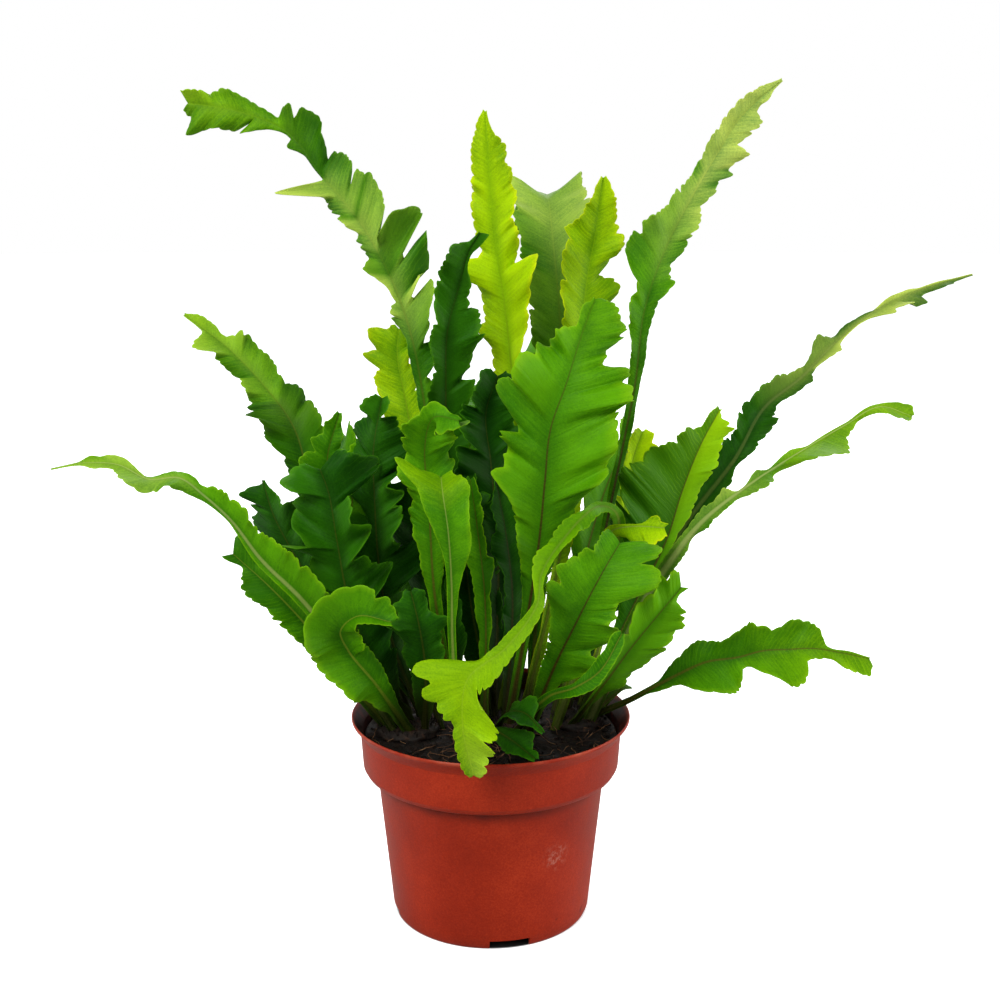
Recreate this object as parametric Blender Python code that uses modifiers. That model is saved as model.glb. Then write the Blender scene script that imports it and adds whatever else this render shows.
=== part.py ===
"""A bird's-nest fern with lobed fronds, growing from three crowns in a thin 12 cm nursery pot.

Metres, +Z up. The origin is the middle of the pot's foot, at the level it stands on.
"""

import math

import bmesh
import bpy
import numpy as np
from mathutils import Vector

MM = 0.001

# Pot: a thin injection-moulded nursery pot with a flared lip over a stepped collar.
RIM_RADIUS = 60.0 * MM
RIM_HEIGHT = 88.9 * MM
COLLAR_TOP_RADIUS = 56.6 * MM
COLLAR_LOW_RADIUS = 55.0 * MM
COLLAR_BOTTOM = 63.9 * MM
BODY_TOP_RADIUS = 49.2 * MM
FOOT_RADIUS = 42.7 * MM
WALL = 0.9 * MM
FLOOR_UNDERSIDE = 4.2 * MM
FLOOR_THICKNESS = 1.2 * MM
CENTRE_PAD_RADIUS = 10.0 * MM
POT_STEPS = 40
NOTCH_WIDTH = 17.0 * MM
NOTCH_HEIGHT = 3.8 * MM
DRAIN_RADIUS = 3.5 * MM
DRAIN_RING = 27.0 * MM

# Soil and crowns. Neighbours keep a gap of 0.3 mm or a little more.
GAP = 0.35 * MM
SOIL_TOP = 80.2 * MM
CROWN_HEIGHT = 3.2 * MM
CROWNS = {
    "crown_left": (-36.0, 0.0, 14.0),
    "crown_middle": (3.0, 3.0, 19.0),
    "crown_right": (38.0, 10.0, 12.0),
}

# Fronds: thickness of a stalk and of a blade, and how far the lobes sweep to the tip.
STALK_THICK = 2.0 * MM
BLADE_THICK = 0.7 * MM
STALK_SHARE = 0.22
LOBE_SWEEP = math.radians(30)
FOLD = 0.18

GREEN_YOUNG = (0.42, 0.66, 0.03)
GREEN_MID = (0.13, 0.38, 0.02)
GREEN_DARK = (0.03, 0.15, 0.01)

# Each frond: the midrib's points from the crown to the tip (mm), the blade's half-width at
# each point on the left and on the right of its upper face (mm), and the way that face
# looks (degrees round from the front, degrees up). One pair serves a whole frond.
FRONDS = {
    "frond_upper_left": (
        GREEN_MID,
        [(-13, 8, 86), (-22, 17, 150), (-27, 24, 209), (-36, 27, 256), (-52, 30, 291),
         (-72, 34, 316), (-86, 38, 333), (-108, 40, 342), (-128, 40, 345)],
        [1.8, 2.5, 6, 9, 7, 4, 3, 6, 6],
        [1.8, 2.5, 9, 15, 17, 12, 4, 9, 7],
        [(-22, 10)],
    ),
    "frond_left_high": (
        GREEN_MID,
        [(-44, 10, 86), (-62, 28, 130), (-80, 44, 172), (-89, 52, 204), (-104, 58, 224),
         (-120, 62, 240), (-139, 64, 254)],
        [1.8, 3, 5, 12, 12, 9, 1],
        [1.8, 3, 5, 12, 12, 8, 1],
        [(10, 25)],
    ),
    "frond_left_slender": (
        GREEN_MID,
        [(-43, -9, 86), (-61, -28, 126), (-75, -36, 149), (-90, -41, 167), (-100, -45, 183),
         (-110, -48, 194), (-118, -51, 201), (-129, -53, 201), (-140, -55, 207),
         (-152, -57, 208), (-164, -58, 206)],
        [1.8, 3, 4, 4, 3, 3, 3, 3, 4, 2.5, 0.6],
        [1.8, 6, 12, 13, 9, 7, 6, 5, 4, 2.5, 0.6],
        [(0, 10), (0, 15), (0, 20), (0, 25), (0, 35), (0, 45), (0, 55), (0, 60), (0, 50),
         (0, 60), (0, 60)],
    ),
    "frond_left_low": (
        GREEN_MID,
        [(-47, -2, 86), (-62, -9, 108), (-77, -12, 131), (-92, -12, 148), (-107, -9, 161)],
        [1.8, 7, 11, 11, 5],
        [1.8, 6, 11, 11, 5],
        [(0, 15)],
    ),
    "frond_left_jagged": (
        GREEN_DARK,
        [(-46, 6, 86), (-64, 6, 122), (-80, 3, 152), (-91, 1, 175), (-95, 0, 190)],
        [1.8, 5, 9, 13, 9],
        [1.8, 6, 12, 13, 8],
        [(-28, 10)],
    ),
    "frond_left_folded": (
        GREEN_YOUNG,
        [(-36, -11, 86), (-47, -30, 112), (-57, -38, 129), (-59, -43, 138), (-51, -49, 146),
         (-38, -54, 145)],
        [1.8, 9, 13, 10, 7, 1],
        [1.8, 6, 7, 4, 4, 1],
        [(0, 5), (0, 5), (0, 10), (0, 20), (0, 40), (0, 50)],
    ),
    "frond_front_hanging": (
        GREEN_YOUNG,
        [(30, 9, 86), (42, 15, 130), (54, 4, 163), (52, -9, 178), (42, -26, 184),
         (29, -41, 175), (20, -53, 164), (18, -61, 154), (6, -71, 140), (-8, -77, 130),
         (-10, -79, 113), (-6, -75, 91)],
        [1.8, 2, 3, 5, 6, 4, 3, 3, 4, 10, 10, 3],
        [1.8, 2, 3, 5, 6, 3, 3, 3, 6, 15, 8, 3],
        [(0, 10), (0, 10), (0, 15), (0, 25), (0, 50), (0, 50), (0, 40), (0, 30), (0, 30),
         (0, 20), (0, 10), (0, 5)],
    ),
    "frond_yellow_tip": (
        GREEN_YOUNG,
        [(30, 2, 86), (43, 3, 127), (47, -2, 156), (50, -11, 171), (59, -19, 175),
         (70, -26, 176)],
        [1.6, 2, 3, 3, 5, 3],
        [1.6, 2, 3, 5, 12, 5],
        [(0, 10), (0, 10), (0, 15), (0, 25), (0, 25), (0, 25)],
    ),
    "frond_tall_yellow": (
        GREEN_YOUNG,
        [(6, 14, 86), (12, 19, 133), (13, 24, 177), (12, 26, 208), (9, 26, 235),
         (6, 25, 262), (3, 24, 282), (1, 22, 300), (-1, 18, 322), (-2, 14, 340)],
        [1.8, 2.5, 4, 5, 6, 12, 5, 8, 8, 1],
        [1.8, 2.5, 4, 5, 6, 13, 6, 11, 8, 1],
        [(-20, 5)],
    ),
    "frond_serrated": (
        GREEN_YOUNG,
        [(15, 14, 86), (30, 26, 150), (37, 33, 205), (39, 34, 245), (41, 33, 270),
         (45, 30, 295), (47, 26, 314)],
        [1.8, 3, 6, 9, 12, 7, 1.5],
        [1.8, 3, 7, 10, 8, 6, 1.5],
        [(25, 5)],
    ),
    "frond_back_arching": (
        GREEN_MID,
        [(10, 19, 86), (24, 42, 170), (31, 56, 245), (28, 64, 285), (26, 80, 306),
         (26, 110, 303), (27, 140, 275)],
        [1.8, 4, 9, 14, 15, 13, 5],
        [1.8, 4, 9, 14, 15, 13, 5],
        [(0, 10), (0, 10), (0, 10), (0, 15), (0, 50), (0, 100), (0, 125)],
    ),
    "frond_upper_right": (
        GREEN_MID,
        [(34, 14, 86), (44, 22, 130), (51, 26, 168), (57, 27, 199), (62, 25, 229),
         (65, 23, 259), (74, 28, 285), (85, 32, 306), (95, 35, 323), (106, 36, 340),
         (122, 36, 354)],
        [1.8, 2, 2.5, 3, 5, 12, 14, 9, 7, 6, 0.6],
        [1.8, 2, 2.5, 3, 6, 8, 8, 6, 6, 5, 0.6],
        [(22, 5)],
    ),
    "frond_centre_broad": (
        GREEN_MID,
        [(8, -4, 86), (15, -13, 132), (20, -20, 170), (22, -24, 195), (24, -26, 216),
         (30, -26, 234), (36, -20, 252), (42, -10, 266)],
        [2, 4, 8, 17, 21, 24, 17, 5],
        [2, 4, 10, 20, 26, 24, 18, 9],
        [(0, 5)],
    ),
    "frond_right_long": (
        GREEN_MID,
        [(45, 17, 86), (66, 26, 131), (88, 34, 166), (109, 42, 192), (122, 47, 214),
         (139, 52, 227), (157, 58, 244), (175, 62, 257), (196, 66, 266), (218, 68, 272)],
        [1.8, 4, 7, 13, 13, 8, 8, 7, 5, 0.6],
        [1.8, 3, 4, 5, 6, 7, 7, 6, 5, 0.6],
        [(0, 10), (0, 10), (0, 15), (0, 20), (0, 25), (0, 40), (0, 50), (0, 50), (0, 50),
         (0, 50)],
    ),
    "frond_right_slender": (
        GREEN_YOUNG,
        [(44, 3, 86), (63, -9, 138), (74, -15, 159), (86, -26, 179), (104, -36, 197),
         (121, -44, 211), (134, -50, 221), (146, -55, 229), (157, -58, 226)],
        [1.8, 4, 5, 5, 5, 4, 7, 7, 4],
        [1.8, 4, 5, 5, 5, 4, 8, 6, 4],
        [(0, 10), (0, 20), (0, 30), (0, 45), (0, 55), (0, 60), (0, 45), (0, 50), (0, 60)],
    ),
    "frond_right_broad": (
        GREEN_DARK,
        [(41, 10, 86), (63, 12, 135), (75, 8, 163), (81, 6, 185), (88, 6, 204), (96, 8, 219)],
        [1.8, 6, 17, 22, 17, 5],
        [1.8, 4, 7, 8, 8, 4],
        [(20, 5)],
    ),
    "frond_right_inner": (
        GREEN_YOUNG,
        [(40, 19, 86), (54, 38, 127), (61, 48, 172), (64, 50, 190), (68, 50, 203)],
        [1.6, 3, 8, 8, 4],
        [1.6, 3, 8, 8, 4],
        [(40, 5)],
    ),
    "frond_right_low": (
        GREEN_MID,
        [(48, 6, 86), (58, 2, 92), (70, -6, 102), (80, -12, 110), (90, -18, 117),
         (102, -24, 121), (111, -28, 125), (122, -32, 127), (130, -34, 128), (140, -36, 127),
         (152, -38, 125)],
        [1.8, 2, 3, 5, 10, 10, 13, 12, 10, 3, 1],
        [1.8, 2, 3, 6, 10, 14, 8, 10, 12, 3, 1],
        [(0, 20)],
    ),
    "frond_right_upright": (
        GREEN_MID,
        [(37, -1, 86), (49, -18, 110), (59, -22, 126), (68, -23, 138), (78, -21, 150)],
        [1.8, 6, 6, 6, 3],
        [1.8, 8, 13, 13, 4],
        [(22, 5)],
    ),
    "frond_front_broad": (
        GREEN_MID,
        [(17, -9, 86), (27, -30, 121), (34, -42, 141), (40, -48, 156), (46, -47, 167),
         (51, -40, 173)],
        [1.8, 7, 13, 16, 14, 6],
        [1.8, 7, 14, 22, 22, 8],
        [(0, 5), (0, 5), (0, 5), (0, 10), (0, 25), (0, 45)],
    ),
    "frond_front_low": (
        GREEN_YOUNG,
        [(12, -13, 86), (24, -38, 109), (34, -52, 118), (43, -58, 127), (51, -56, 141)],
        [1.6, 3, 3, 5, 4],
        [1.6, 3, 5, 6, 3],
        [(0, 35)],
    ),
    "young_front_right": (
        GREEN_DARK,
        [(3, -14, 86), (9, -34, 101), (15, -43, 103), (21, -49, 98)],
        [1.5, 6, 7, 1],
        [1.5, 6, 7, 1],
        [(0, 60)],
    ),
    "young_front_low": (
        GREEN_DARK,
        [(-5, -14, 86), (3, -31, 91), (11, -42, 90), (18, -50, 87)],
        [1.5, 4.5, 6.5, 2.5],
        [1.5, 4.5, 6.5, 2.5],
        [(0, 60)],
    ),
    "young_right": (
        GREEN_MID,
        [(49, 12, 86), (54, 12, 91), (58, 13, 94), (62, 15, 94)],
        [1.3, 4, 4, 1],
        [1.3, 4, 4, 1],
        [(0, 70)],
    ),
    "frond_trumpet": (
        GREEN_YOUNG,
        [(-9, -10, 86), (-14, -31, 112), (-15, -38, 133), (-15, -44, 159), (-16, -48, 180),
         (-18, -46, 194), (-19, -38, 199)],
        [1.6, 2, 2, 4, 10, 12, 12],
        [1.6, 2, 3, 6, 9, 11, 11],
        [(0, 5), (0, 5), (0, 0), (0, 0), (0, 5), (0, 30), (0, 60)],
    ),
    "frond_dark_lobed": (
        GREEN_DARK,
        [(-5, 9, 86), (-15, 16, 148), (-19, 18, 203), (-19, 15, 229), (-18, 10, 251),
         (-13, 6, 270), (-9, 0, 284), (-4, -4, 292)],
        [1.8, 3, 5, 7, 9, 12, 6, 2],
        [1.8, 3, 5, 9, 13, 9, 5, 2],
        [(25, 5)],
    ),
    "frond_yellow_lobes": (
        GREEN_YOUNG,
        [(-10, 15, 86), (-28, 40, 143), (-34, 50, 193), (-39, 54, 219), (-42, 54, 237),
         (-41, 52, 249)],
        [1.6, 3, 6, 11, 12, 4],
        [1.6, 3, 6, 8, 8, 5],
        [(-25, 5)],
    ),
    "frond_inner_arching": (
        GREEN_MID,
        [(-14, -1, 86), (-23, -11, 142), (-25, -16, 185), (-26, -21, 209), (-22, -28, 221),
         (-12, -36, 221)],
        [1.6, 3, 9, 9, 6, 2],
        [1.6, 3, 10, 13, 13, 4],
        [(0, 5), (0, 5), (0, 5), (0, 10), (0, 25), (0, 30)],
    ),
    "frond_dark_upright": (
        GREEN_DARK,
        [(-30, 3, 86), (-42, 2, 120), (-47, -2, 157), (-48, -4, 183), (-48, -6, 204),
         (-44, -8, 226)],
        [1.8, 5, 10, 10, 9, 3],
        [1.8, 6, 12, 12, 8, 3],
        [(-25, 5)],
    ),
    "frond_dark_broad": (
        GREEN_DARK,
        [(-36, -1, 86), (-50, -14, 116), (-58, -20, 144), (-62, -22, 170), (-65, -22, 190),
         (-68, -22, 199)],
        [1.8, 7, 12, 12, 9, 4],
        [1.8, 8, 14, 13, 10, 5],
        [(-20, 5)],
    ),
    "frond_dark_round": (
        GREEN_DARK,
        [(-28, -8, 86), (-27, -22, 118), (-29, -27, 136), (-32, -28, 150)],
        [1.8, 8, 11, 4],
        [1.8, 8, 11, 4],
        [(0, 10)],
    ),
    "frond_left_second": (
        GREEN_MID,
        [(-30, 9, 86), (-54, 16, 125), (-66, 13, 170), (-69, 9, 197), (-63, 5, 218)],
        [1.8, 5, 9, 9, 2],
        [1.8, 5, 9, 8, 2],
        [(-10, 5)],
    ),
    "frond_left_inner": (
        GREEN_MID,
        [(-40, 4, 86), (-55, 5, 130), (-59, 5, 156), (-58, 5, 185), (-55, 5, 204)],
        [1.7, 6, 9, 10, 4],
        [1.7, 6, 9, 10, 4],
        [(0, 5)],
    ),
    "frond_dark_inner": (
        GREEN_DARK,
        [(1, 4, 86), (3, 13, 154), (0, 14, 195), (-2, 13, 217), (3, 9, 233)],
        [1.8, 5, 10, 10, 4],
        [1.8, 5, 9, 9, 4],
        [(30, 5)],
    ),
    "frond_inner_narrow_left": (
        GREEN_MID,
        [(-2, -4, 86), (-2, -9, 142), (-5, -11, 171), (-8, -12, 193)],
        [1.6, 4, 6, 3],
        [1.6, 4, 6, 3],
        [(-45, 5)],
    ),
    "frond_inner_narrow_right": (
        GREEN_DARK,
        [(6, 3, 86), (9, 0, 140), (6, -1, 170), (2, -2, 192)],
        [1.6, 5, 6, 3],
        [1.6, 5, 6, 3],
        [(45, 5)],
    ),
    "frond_inner_dark_left": (
        GREEN_DARK,
        [(-8, 2, 86), (-26, 4, 139), (-30, 4, 165), (-34, 2, 187)],
        [1.6, 7, 9, 4],
        [1.6, 7, 9, 4],
        [(-35, 5)],
    ),
    "frond_inner_dark_middle": (
        GREEN_DARK,
        [(0, 10, 86), (-9, 8, 136), (-12, 7, 166), (-15, 6, 191)],
        [1.6, 6, 8, 4],
        [1.6, 6, 8, 4],
        [(30, 5)],
    ),
    "frond_rear_left": (
        GREEN_MID,
        [(-24, 8, 86), (-44, 40, 140), (-62, 75, 175), (-80, 110, 180), (-95, 138, 165)],
        [1.8, 8, 13, 11, 1],
        [1.8, 8, 13, 11, 1],
        [(-40, 20), (-50, 40), (-60, 50), (-60, 55), (-60, 55)],
    ),
    "frond_rear_middle": (
        GREEN_MID,
        [(-4, 18, 86), (-7, 50, 150), (-12, 90, 200), (-18, 130, 215), (-22, 165, 195)],
        [1.8, 8, 13, 11, 1],
        [1.8, 8, 13, 11, 1],
        [(0, 10), (25, 35), (50, 45), (60, 50), (60, 50)],
    ),
    "frond_rear_right": (
        GREEN_MID,
        [(29, 17, 86), (42, 50, 140), (58, 85, 178), (72, 115, 185), (84, 140, 170)],
        [1.8, 8, 13, 11, 1],
        [1.8, 8, 13, 11, 1],
        [(0, 10), (40, 40), (60, 50), (65, 50), (60, 50)],
    ),
    "frond_rear_left_low": (
        GREEN_DARK,
        [(-37, 13, 86), (-54, 38, 118), (-75, 70, 140), (-100, 100, 140), (-118, 120, 125)],
        [1.8, 8, 12, 11, 1],
        [1.8, 8, 12, 11, 1],
        [(0, 45), (-40, 50), (-60, 50), (-60, 50), (-60, 50)],
    ),
    "frond_rear_right_low": (
        GREEN_DARK,
        [(35, 20, 86), (50, 50, 118), (66, 85, 138), (76, 115, 138), (84, 138, 122)],
        [1.8, 8, 12, 11, 1],
        [1.8, 8, 12, 11, 1],
        [(0, 45), (40, 50), (60, 50), (60, 50), (60, 50)],
    ),
    "frond_rear_low": (
        GREEN_DARK,
        [(4, 20, 86), (5, 45, 120), (4, 85, 140), (2, 120, 138), (0, 145, 120)],
        [1.8, 8, 12, 11, 1],
        [1.8, 8, 12, 11, 1],
        [(0, 45), (-40, 50), (-60, 45), (-60, 45), (-60, 45)],
    ),
    "frond_rear_tall": (
        GREEN_MID,
        [(18, 17, 86), (22, 48, 150), (22, 80, 210), (18, 115, 232), (14, 150, 222)],
        [1.8, 6, 12, 11, 1],
        [1.8, 6, 12, 11, 1],
        [(0, 10), (-30, 30), (-50, 40), (-60, 45), (-60, 45)],
    ),
}
ALONG = 14
LONG_FROND = 0.22
ALONG_LONG = 18


def clear_scene():
    for old in list(bpy.data.objects):
        bpy.data.objects.remove(old, do_unlink=True)


def collection(name):
    made = bpy.data.collections.new(name)
    bpy.context.scene.collection.children.link(made)
    return made


def material(name, colour, roughness):
    mat = bpy.data.materials.new(name)
    mat.use_nodes = True
    shader = mat.node_tree.nodes["Principled BSDF"]
    shader.inputs["Base Color"].default_value = (*colour, 1.0)
    shader.inputs["Roughness"].default_value = roughness
    shader.inputs["Metallic"].default_value = 0.0
    mat.diffuse_color = (*colour, 1.0)
    return mat


def new_object(name, bm, where, mat=None):
    mesh = bpy.data.meshes.new(name)
    bm.to_mesh(mesh)
    bm.free()
    obj = bpy.data.objects.new(name, mesh)
    where.objects.link(obj)
    if mat:
        mesh.materials.append(mat)
    return obj


def turned(name, profile, where, mat):
    """A profile of (radius, height) points, from top to bottom on its outer side, turned."""
    bm = bmesh.new()
    points = [bm.verts.new((r, 0.0, z)) for r, z in profile]
    for a, b in zip(points, points[1:]):
        bm.edges.new((a, b))
    obj = new_object(name, bm, where, mat)
    screw = obj.modifiers.new("turn", "SCREW")
    screw.steps = screw.render_steps = POT_STEPS
    screw.use_merge_vertices = True
    screw.merge_threshold = 0.00001
    screw.use_smooth_shade = True
    return obj


def body_radius(z):
    """The pot body's outer radius at a height below the collar."""
    return FOOT_RADIUS + (BODY_TOP_RADIUS - FOOT_RADIUS) * z / COLLAR_BOTTOM


def collar_radius(z):
    """The collar's outer radius at a height between its two ends."""
    share = (z - COLLAR_BOTTOM) / (RIM_HEIGHT - COLLAR_BOTTOM)
    return COLLAR_LOW_RADIUS + (COLLAR_TOP_RADIUS - COLLAR_LOW_RADIUS) * share


def pot_profile():
    floor_top = FLOOR_UNDERSIDE + FLOOR_THICKNESS
    shoulder = COLLAR_BOTTOM + 3.2 * MM
    lip_foot = RIM_HEIGHT - 6.5 * MM
    outer = [
        (RIM_RADIUS - 0.5 * MM, RIM_HEIGHT),
        (RIM_RADIUS, RIM_HEIGHT - 0.5 * MM),
        (RIM_RADIUS - 0.2 * MM, RIM_HEIGHT - 1.5 * MM),
        (RIM_RADIUS - 2.0 * MM, RIM_HEIGHT - 3.6 * MM),
        (collar_radius(lip_foot), lip_foot),
        (collar_radius(shoulder), shoulder),
        (COLLAR_LOW_RADIUS - 0.9 * MM, COLLAR_BOTTOM + 1.2 * MM),
        (COLLAR_LOW_RADIUS - 2.9 * MM, COLLAR_BOTTOM + 0.1 * MM),
        (BODY_TOP_RADIUS, COLLAR_BOTTOM - 0.2 * MM),
        (body_radius(2.0 * MM), 2.0 * MM),
        (FOOT_RADIUS - 0.7 * MM, 0.0),
    ]
    under = [
        (FOOT_RADIUS - 1.7 * MM, 0.0),
        (FOOT_RADIUS - 1.9 * MM, FLOOR_UNDERSIDE),
        (CENTRE_PAD_RADIUS + 0.6 * MM, FLOOR_UNDERSIDE),
        (CENTRE_PAD_RADIUS, 0.0),
        (0.0, 0.0),
    ]
    inner = [
        (0.0, floor_top),
        (body_radius(floor_top) - WALL, floor_top),
        (BODY_TOP_RADIUS - WALL, COLLAR_BOTTOM + 0.7 * MM),
        (COLLAR_LOW_RADIUS - 3.2 * MM, COLLAR_BOTTOM + 1.1 * MM),
        (COLLAR_LOW_RADIUS - WALL - 0.7 * MM, COLLAR_BOTTOM + 2.0 * MM),
        (collar_radius(shoulder) - WALL, shoulder + 0.4 * MM),
        (collar_radius(lip_foot) - WALL, lip_foot + 0.3 * MM),
        (RIM_RADIUS - 2.9 * MM, RIM_HEIGHT - 3.3 * MM),
        (RIM_RADIUS - 1.2 * MM, RIM_HEIGHT - 1.2 * MM),
    ]
    return outer, under, inner


def cutter(name, where):
    obj = bpy.context.active_object
    obj.name = name
    obj.hide_render = True
    obj.display_type = "WIRE"
    for holder in list(obj.users_collection):
        holder.objects.unlink(obj)
    where.objects.link(obj)
    return obj


def cut(target, tool):
    boolean = target.modifiers.new(tool.name, "BOOLEAN")
    boolean.operation = "DIFFERENCE"
    boolean.solver = "EXACT"
    boolean.object = tool


def build_pot(where, tools):
    """The pot, with four notches under its foot and four drain holes in its floor."""
    outer, under, inner = pot_profile()
    terracotta = material("terracotta_plastic", (0.38, 0.03, 0.01), 0.42)
    pot = turned("pot", outer + under + inner + outer[:1], where, terracotta)
    for k in range(4):
        turn = math.radians(90 * k - 79)
        bpy.ops.mesh.primitive_cube_add(size=1.0)
        notch = cutter(f"foot_notch_{k + 1}", tools)
        notch.scale = (8.0 * MM, NOTCH_WIDTH, 2 * NOTCH_HEIGHT)
        notch.rotation_euler = (0.0, 0.0, turn)
        notch.location = (FOOT_RADIUS * math.cos(turn), FOOT_RADIUS * math.sin(turn), 0.0)
        cut(pot, notch)
        turn += math.radians(45)
        bpy.ops.mesh.primitive_cylinder_add(vertices=16, radius=DRAIN_RADIUS, depth=0.02)
        drain = cutter(f"drain_{k + 1}", tools)
        drain.location = (DRAIN_RING * math.cos(turn), DRAIN_RING * math.sin(turn), 0.0)
        cut(pot, drain)
    return pot


def build_soil(where):
    """The root ball: it fills the pot and its top is flat."""
    floor_top = FLOOR_UNDERSIDE + FLOOR_THICKNESS
    shoulder = COLLAR_BOTTOM + 3.6 * MM
    clear = WALL + GAP
    side = [
        (collar_radius(SOIL_TOP) - clear - 1.0 * MM, SOIL_TOP),
        (collar_radius(SOIL_TOP) - clear, SOIL_TOP - 1.5 * MM),
        (collar_radius(shoulder) - clear, shoulder + GAP),
        (COLLAR_LOW_RADIUS - clear - 1.0 * MM, COLLAR_BOTTOM + 3.0 * MM),
        (COLLAR_LOW_RADIUS - clear - 3.4 * MM, COLLAR_BOTTOM + 2.0 * MM),
        (BODY_TOP_RADIUS - clear - 0.1 * MM, COLLAR_BOTTOM + 1.6 * MM),
        (body_radius(floor_top) - clear - 0.2 * MM, floor_top + GAP),
        (0.0, floor_top + GAP),
    ]
    top = [(0.0, SOIL_TOP)] + [(r * MM, SOIL_TOP) for r in (14, 26, 37, 46)]
    humus = material("potting_soil", (0.02, 0.012, 0.008), 0.95)
    soil = turned("potting_soil", top + side, where, humus)
    return soil


def build_crown(name, x, y, radius, where, mat):
    """A low rhizome mound, with its flat underside just clear of the soil."""
    bm = bmesh.new()
    bmesh.ops.create_cone(
        bm, cap_ends=True, segments=14, radius1=radius * MM, radius2=0.72 * radius * MM,
        depth=CROWN_HEIGHT,
    )
    crown = new_object(name, bm, where, mat)
    crown.location = (x * MM, y * MM, SOIL_TOP + GAP + CROWN_HEIGHT / 2)
    return crown


def smooth(stations, values, at):
    """Smooth values between stations: a cubic through every station, never overshooting far."""
    values = np.asarray(values, float)
    gaps = np.diff(stations)
    slope = np.diff(values, axis=0) / gaps[:, None]
    ends = np.vstack([slope[:1], (slope[1:] + slope[:-1]) / 2, slope[-1:]])
    k = np.clip(np.searchsorted(stations, at, side="right") - 1, 0, len(gaps) - 1)
    u = ((at - stations[k]) / gaps[k])[:, None]
    h = gaps[k][:, None]
    rise = values[k + 1] - values[k]
    first = h * ends[k] - rise
    last = rise - h * ends[k + 1]
    return values[k] + u * rise + u * (1 - u) * ((1 - u) * first + u * last)


def unit(rows):
    return rows / np.linalg.norm(rows, axis=1)[:, None]


def frond_lines(rib, left, right, looks, count):
    """Midrib points, directions, across, face normals and half-widths along a frond."""
    rib = np.asarray(rib, float) * MM
    run = np.concatenate([[0.0], np.cumsum(np.linalg.norm(np.diff(rib, axis=0), axis=1))])
    at = np.linspace(0.0, run[-1], count)
    middle = smooth(run, rib, at)
    ahead = unit(np.gradient(middle, axis=0))
    turn, lift = np.radians(np.array(looks * (len(rib) if len(looks) == 1 else 1)).T)
    look = np.column_stack(
        [np.sin(turn) * np.cos(lift), -np.cos(turn) * np.cos(lift), np.sin(lift)]
    )
    look = smooth(run, look, at)
    face = unit(look - np.sum(look * ahead, axis=1)[:, None] * ahead)
    across = np.cross(ahead, face)
    half = smooth(run, np.column_stack([left, right]), at).clip(0.5) * MM
    return run[-1], middle, ahead, across, face, half


def build_frond(name, spec, where):
    """One frond: a grid laid along its midrib as a shallow V, thickened from stalk to blade."""
    colour, rib, left, right, looks = spec
    points = np.asarray(rib, float) * MM
    length = np.linalg.norm(np.diff(points, axis=0), axis=1).sum()
    count = (ALONG_LONG if length > LONG_FROND else ALONG) + 1
    length, middle, ahead, across, face, half = frond_lines(rib, left, right, looks, count)
    bm = bmesh.new()
    bmesh.ops.create_grid(bm, x_segments=2, y_segments=count - 1, size=1.0)
    sweep, square = math.sin(LOBE_SWEEP), math.cos(LOBE_SWEEP)
    shares = {}
    for vert in bm.verts:
        side = round(vert.co.x)
        k = round((vert.co.y + 1) / 2 * (count - 1))
        width = half[k][0 if side < 0 else 1]
        out = side * width
        place = middle[k] + out * square * across[k] + abs(out) * sweep * ahead[k]
        place = place + FOLD * abs(out) * face[k]
        vert.co = Vector(place)
        shares[vert.index] = stalk_share(k / (count - 1))
    frond = new_object(name, bm, where, material(name + "_green", colour, 0.4))
    group = frond.vertex_groups.new(name="thickness")
    for index, share in shares.items():
        group.add([index], share, "REPLACE")
    shell = frond.modifiers.new("thickness", "SOLIDIFY")
    shell.thickness = STALK_THICK
    shell.offset = 0.0
    shell.vertex_group = group.name
    return frond


def stalk_share(t):
    """The thickness as a share of the stalk's, along a frond from 0 to 1."""
    blade = BLADE_THICK / STALK_THICK
    ease = min(max((t - STALK_SHARE / 2) / STALK_SHARE, 0.0), 1.0)
    return 1.0 + (blade - 1.0) * ease


def main():
    clear_scene()
    parts = collection("potted_fern")
    tools = collection("potted_fern_cutters")
    build_pot(parts, tools)
    build_soil(parts)
    bark = material("crown_scales", (0.035, 0.018, 0.01), 0.9)
    for name, (x, y, radius) in CROWNS.items():
        build_crown(name, x, y, radius, parts, bark)
    for name, spec in FRONDS.items():
        build_frond(name, spec, parts)


main()
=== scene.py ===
# %% [markdown]
# # A potted fern with lobed, ruffled fronds
# The object is a young fern in a thin plastic nursery pot. It has a few dozen fronds, each one a
# blade that grew in one piece with its stalk, and they stand in a rosette round three crowns in dark
# soil. The frame that is loaded first holds the plain solids of every frond, the pot and the soil, in
# real size. This file makes the looks: the true outlines of the fronds with their lobes and teeth,
# their ribs and veins, the moulded pot and the crumbly soil. A plant could also be made with a
# particle or tree add-on, but each frond here has its own shape, so each is drawn one by one.

# %% The frame
import math
import random
import bmesh
import bpy
import numpy as np
from mathutils import Matrix, Vector, noise


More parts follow.
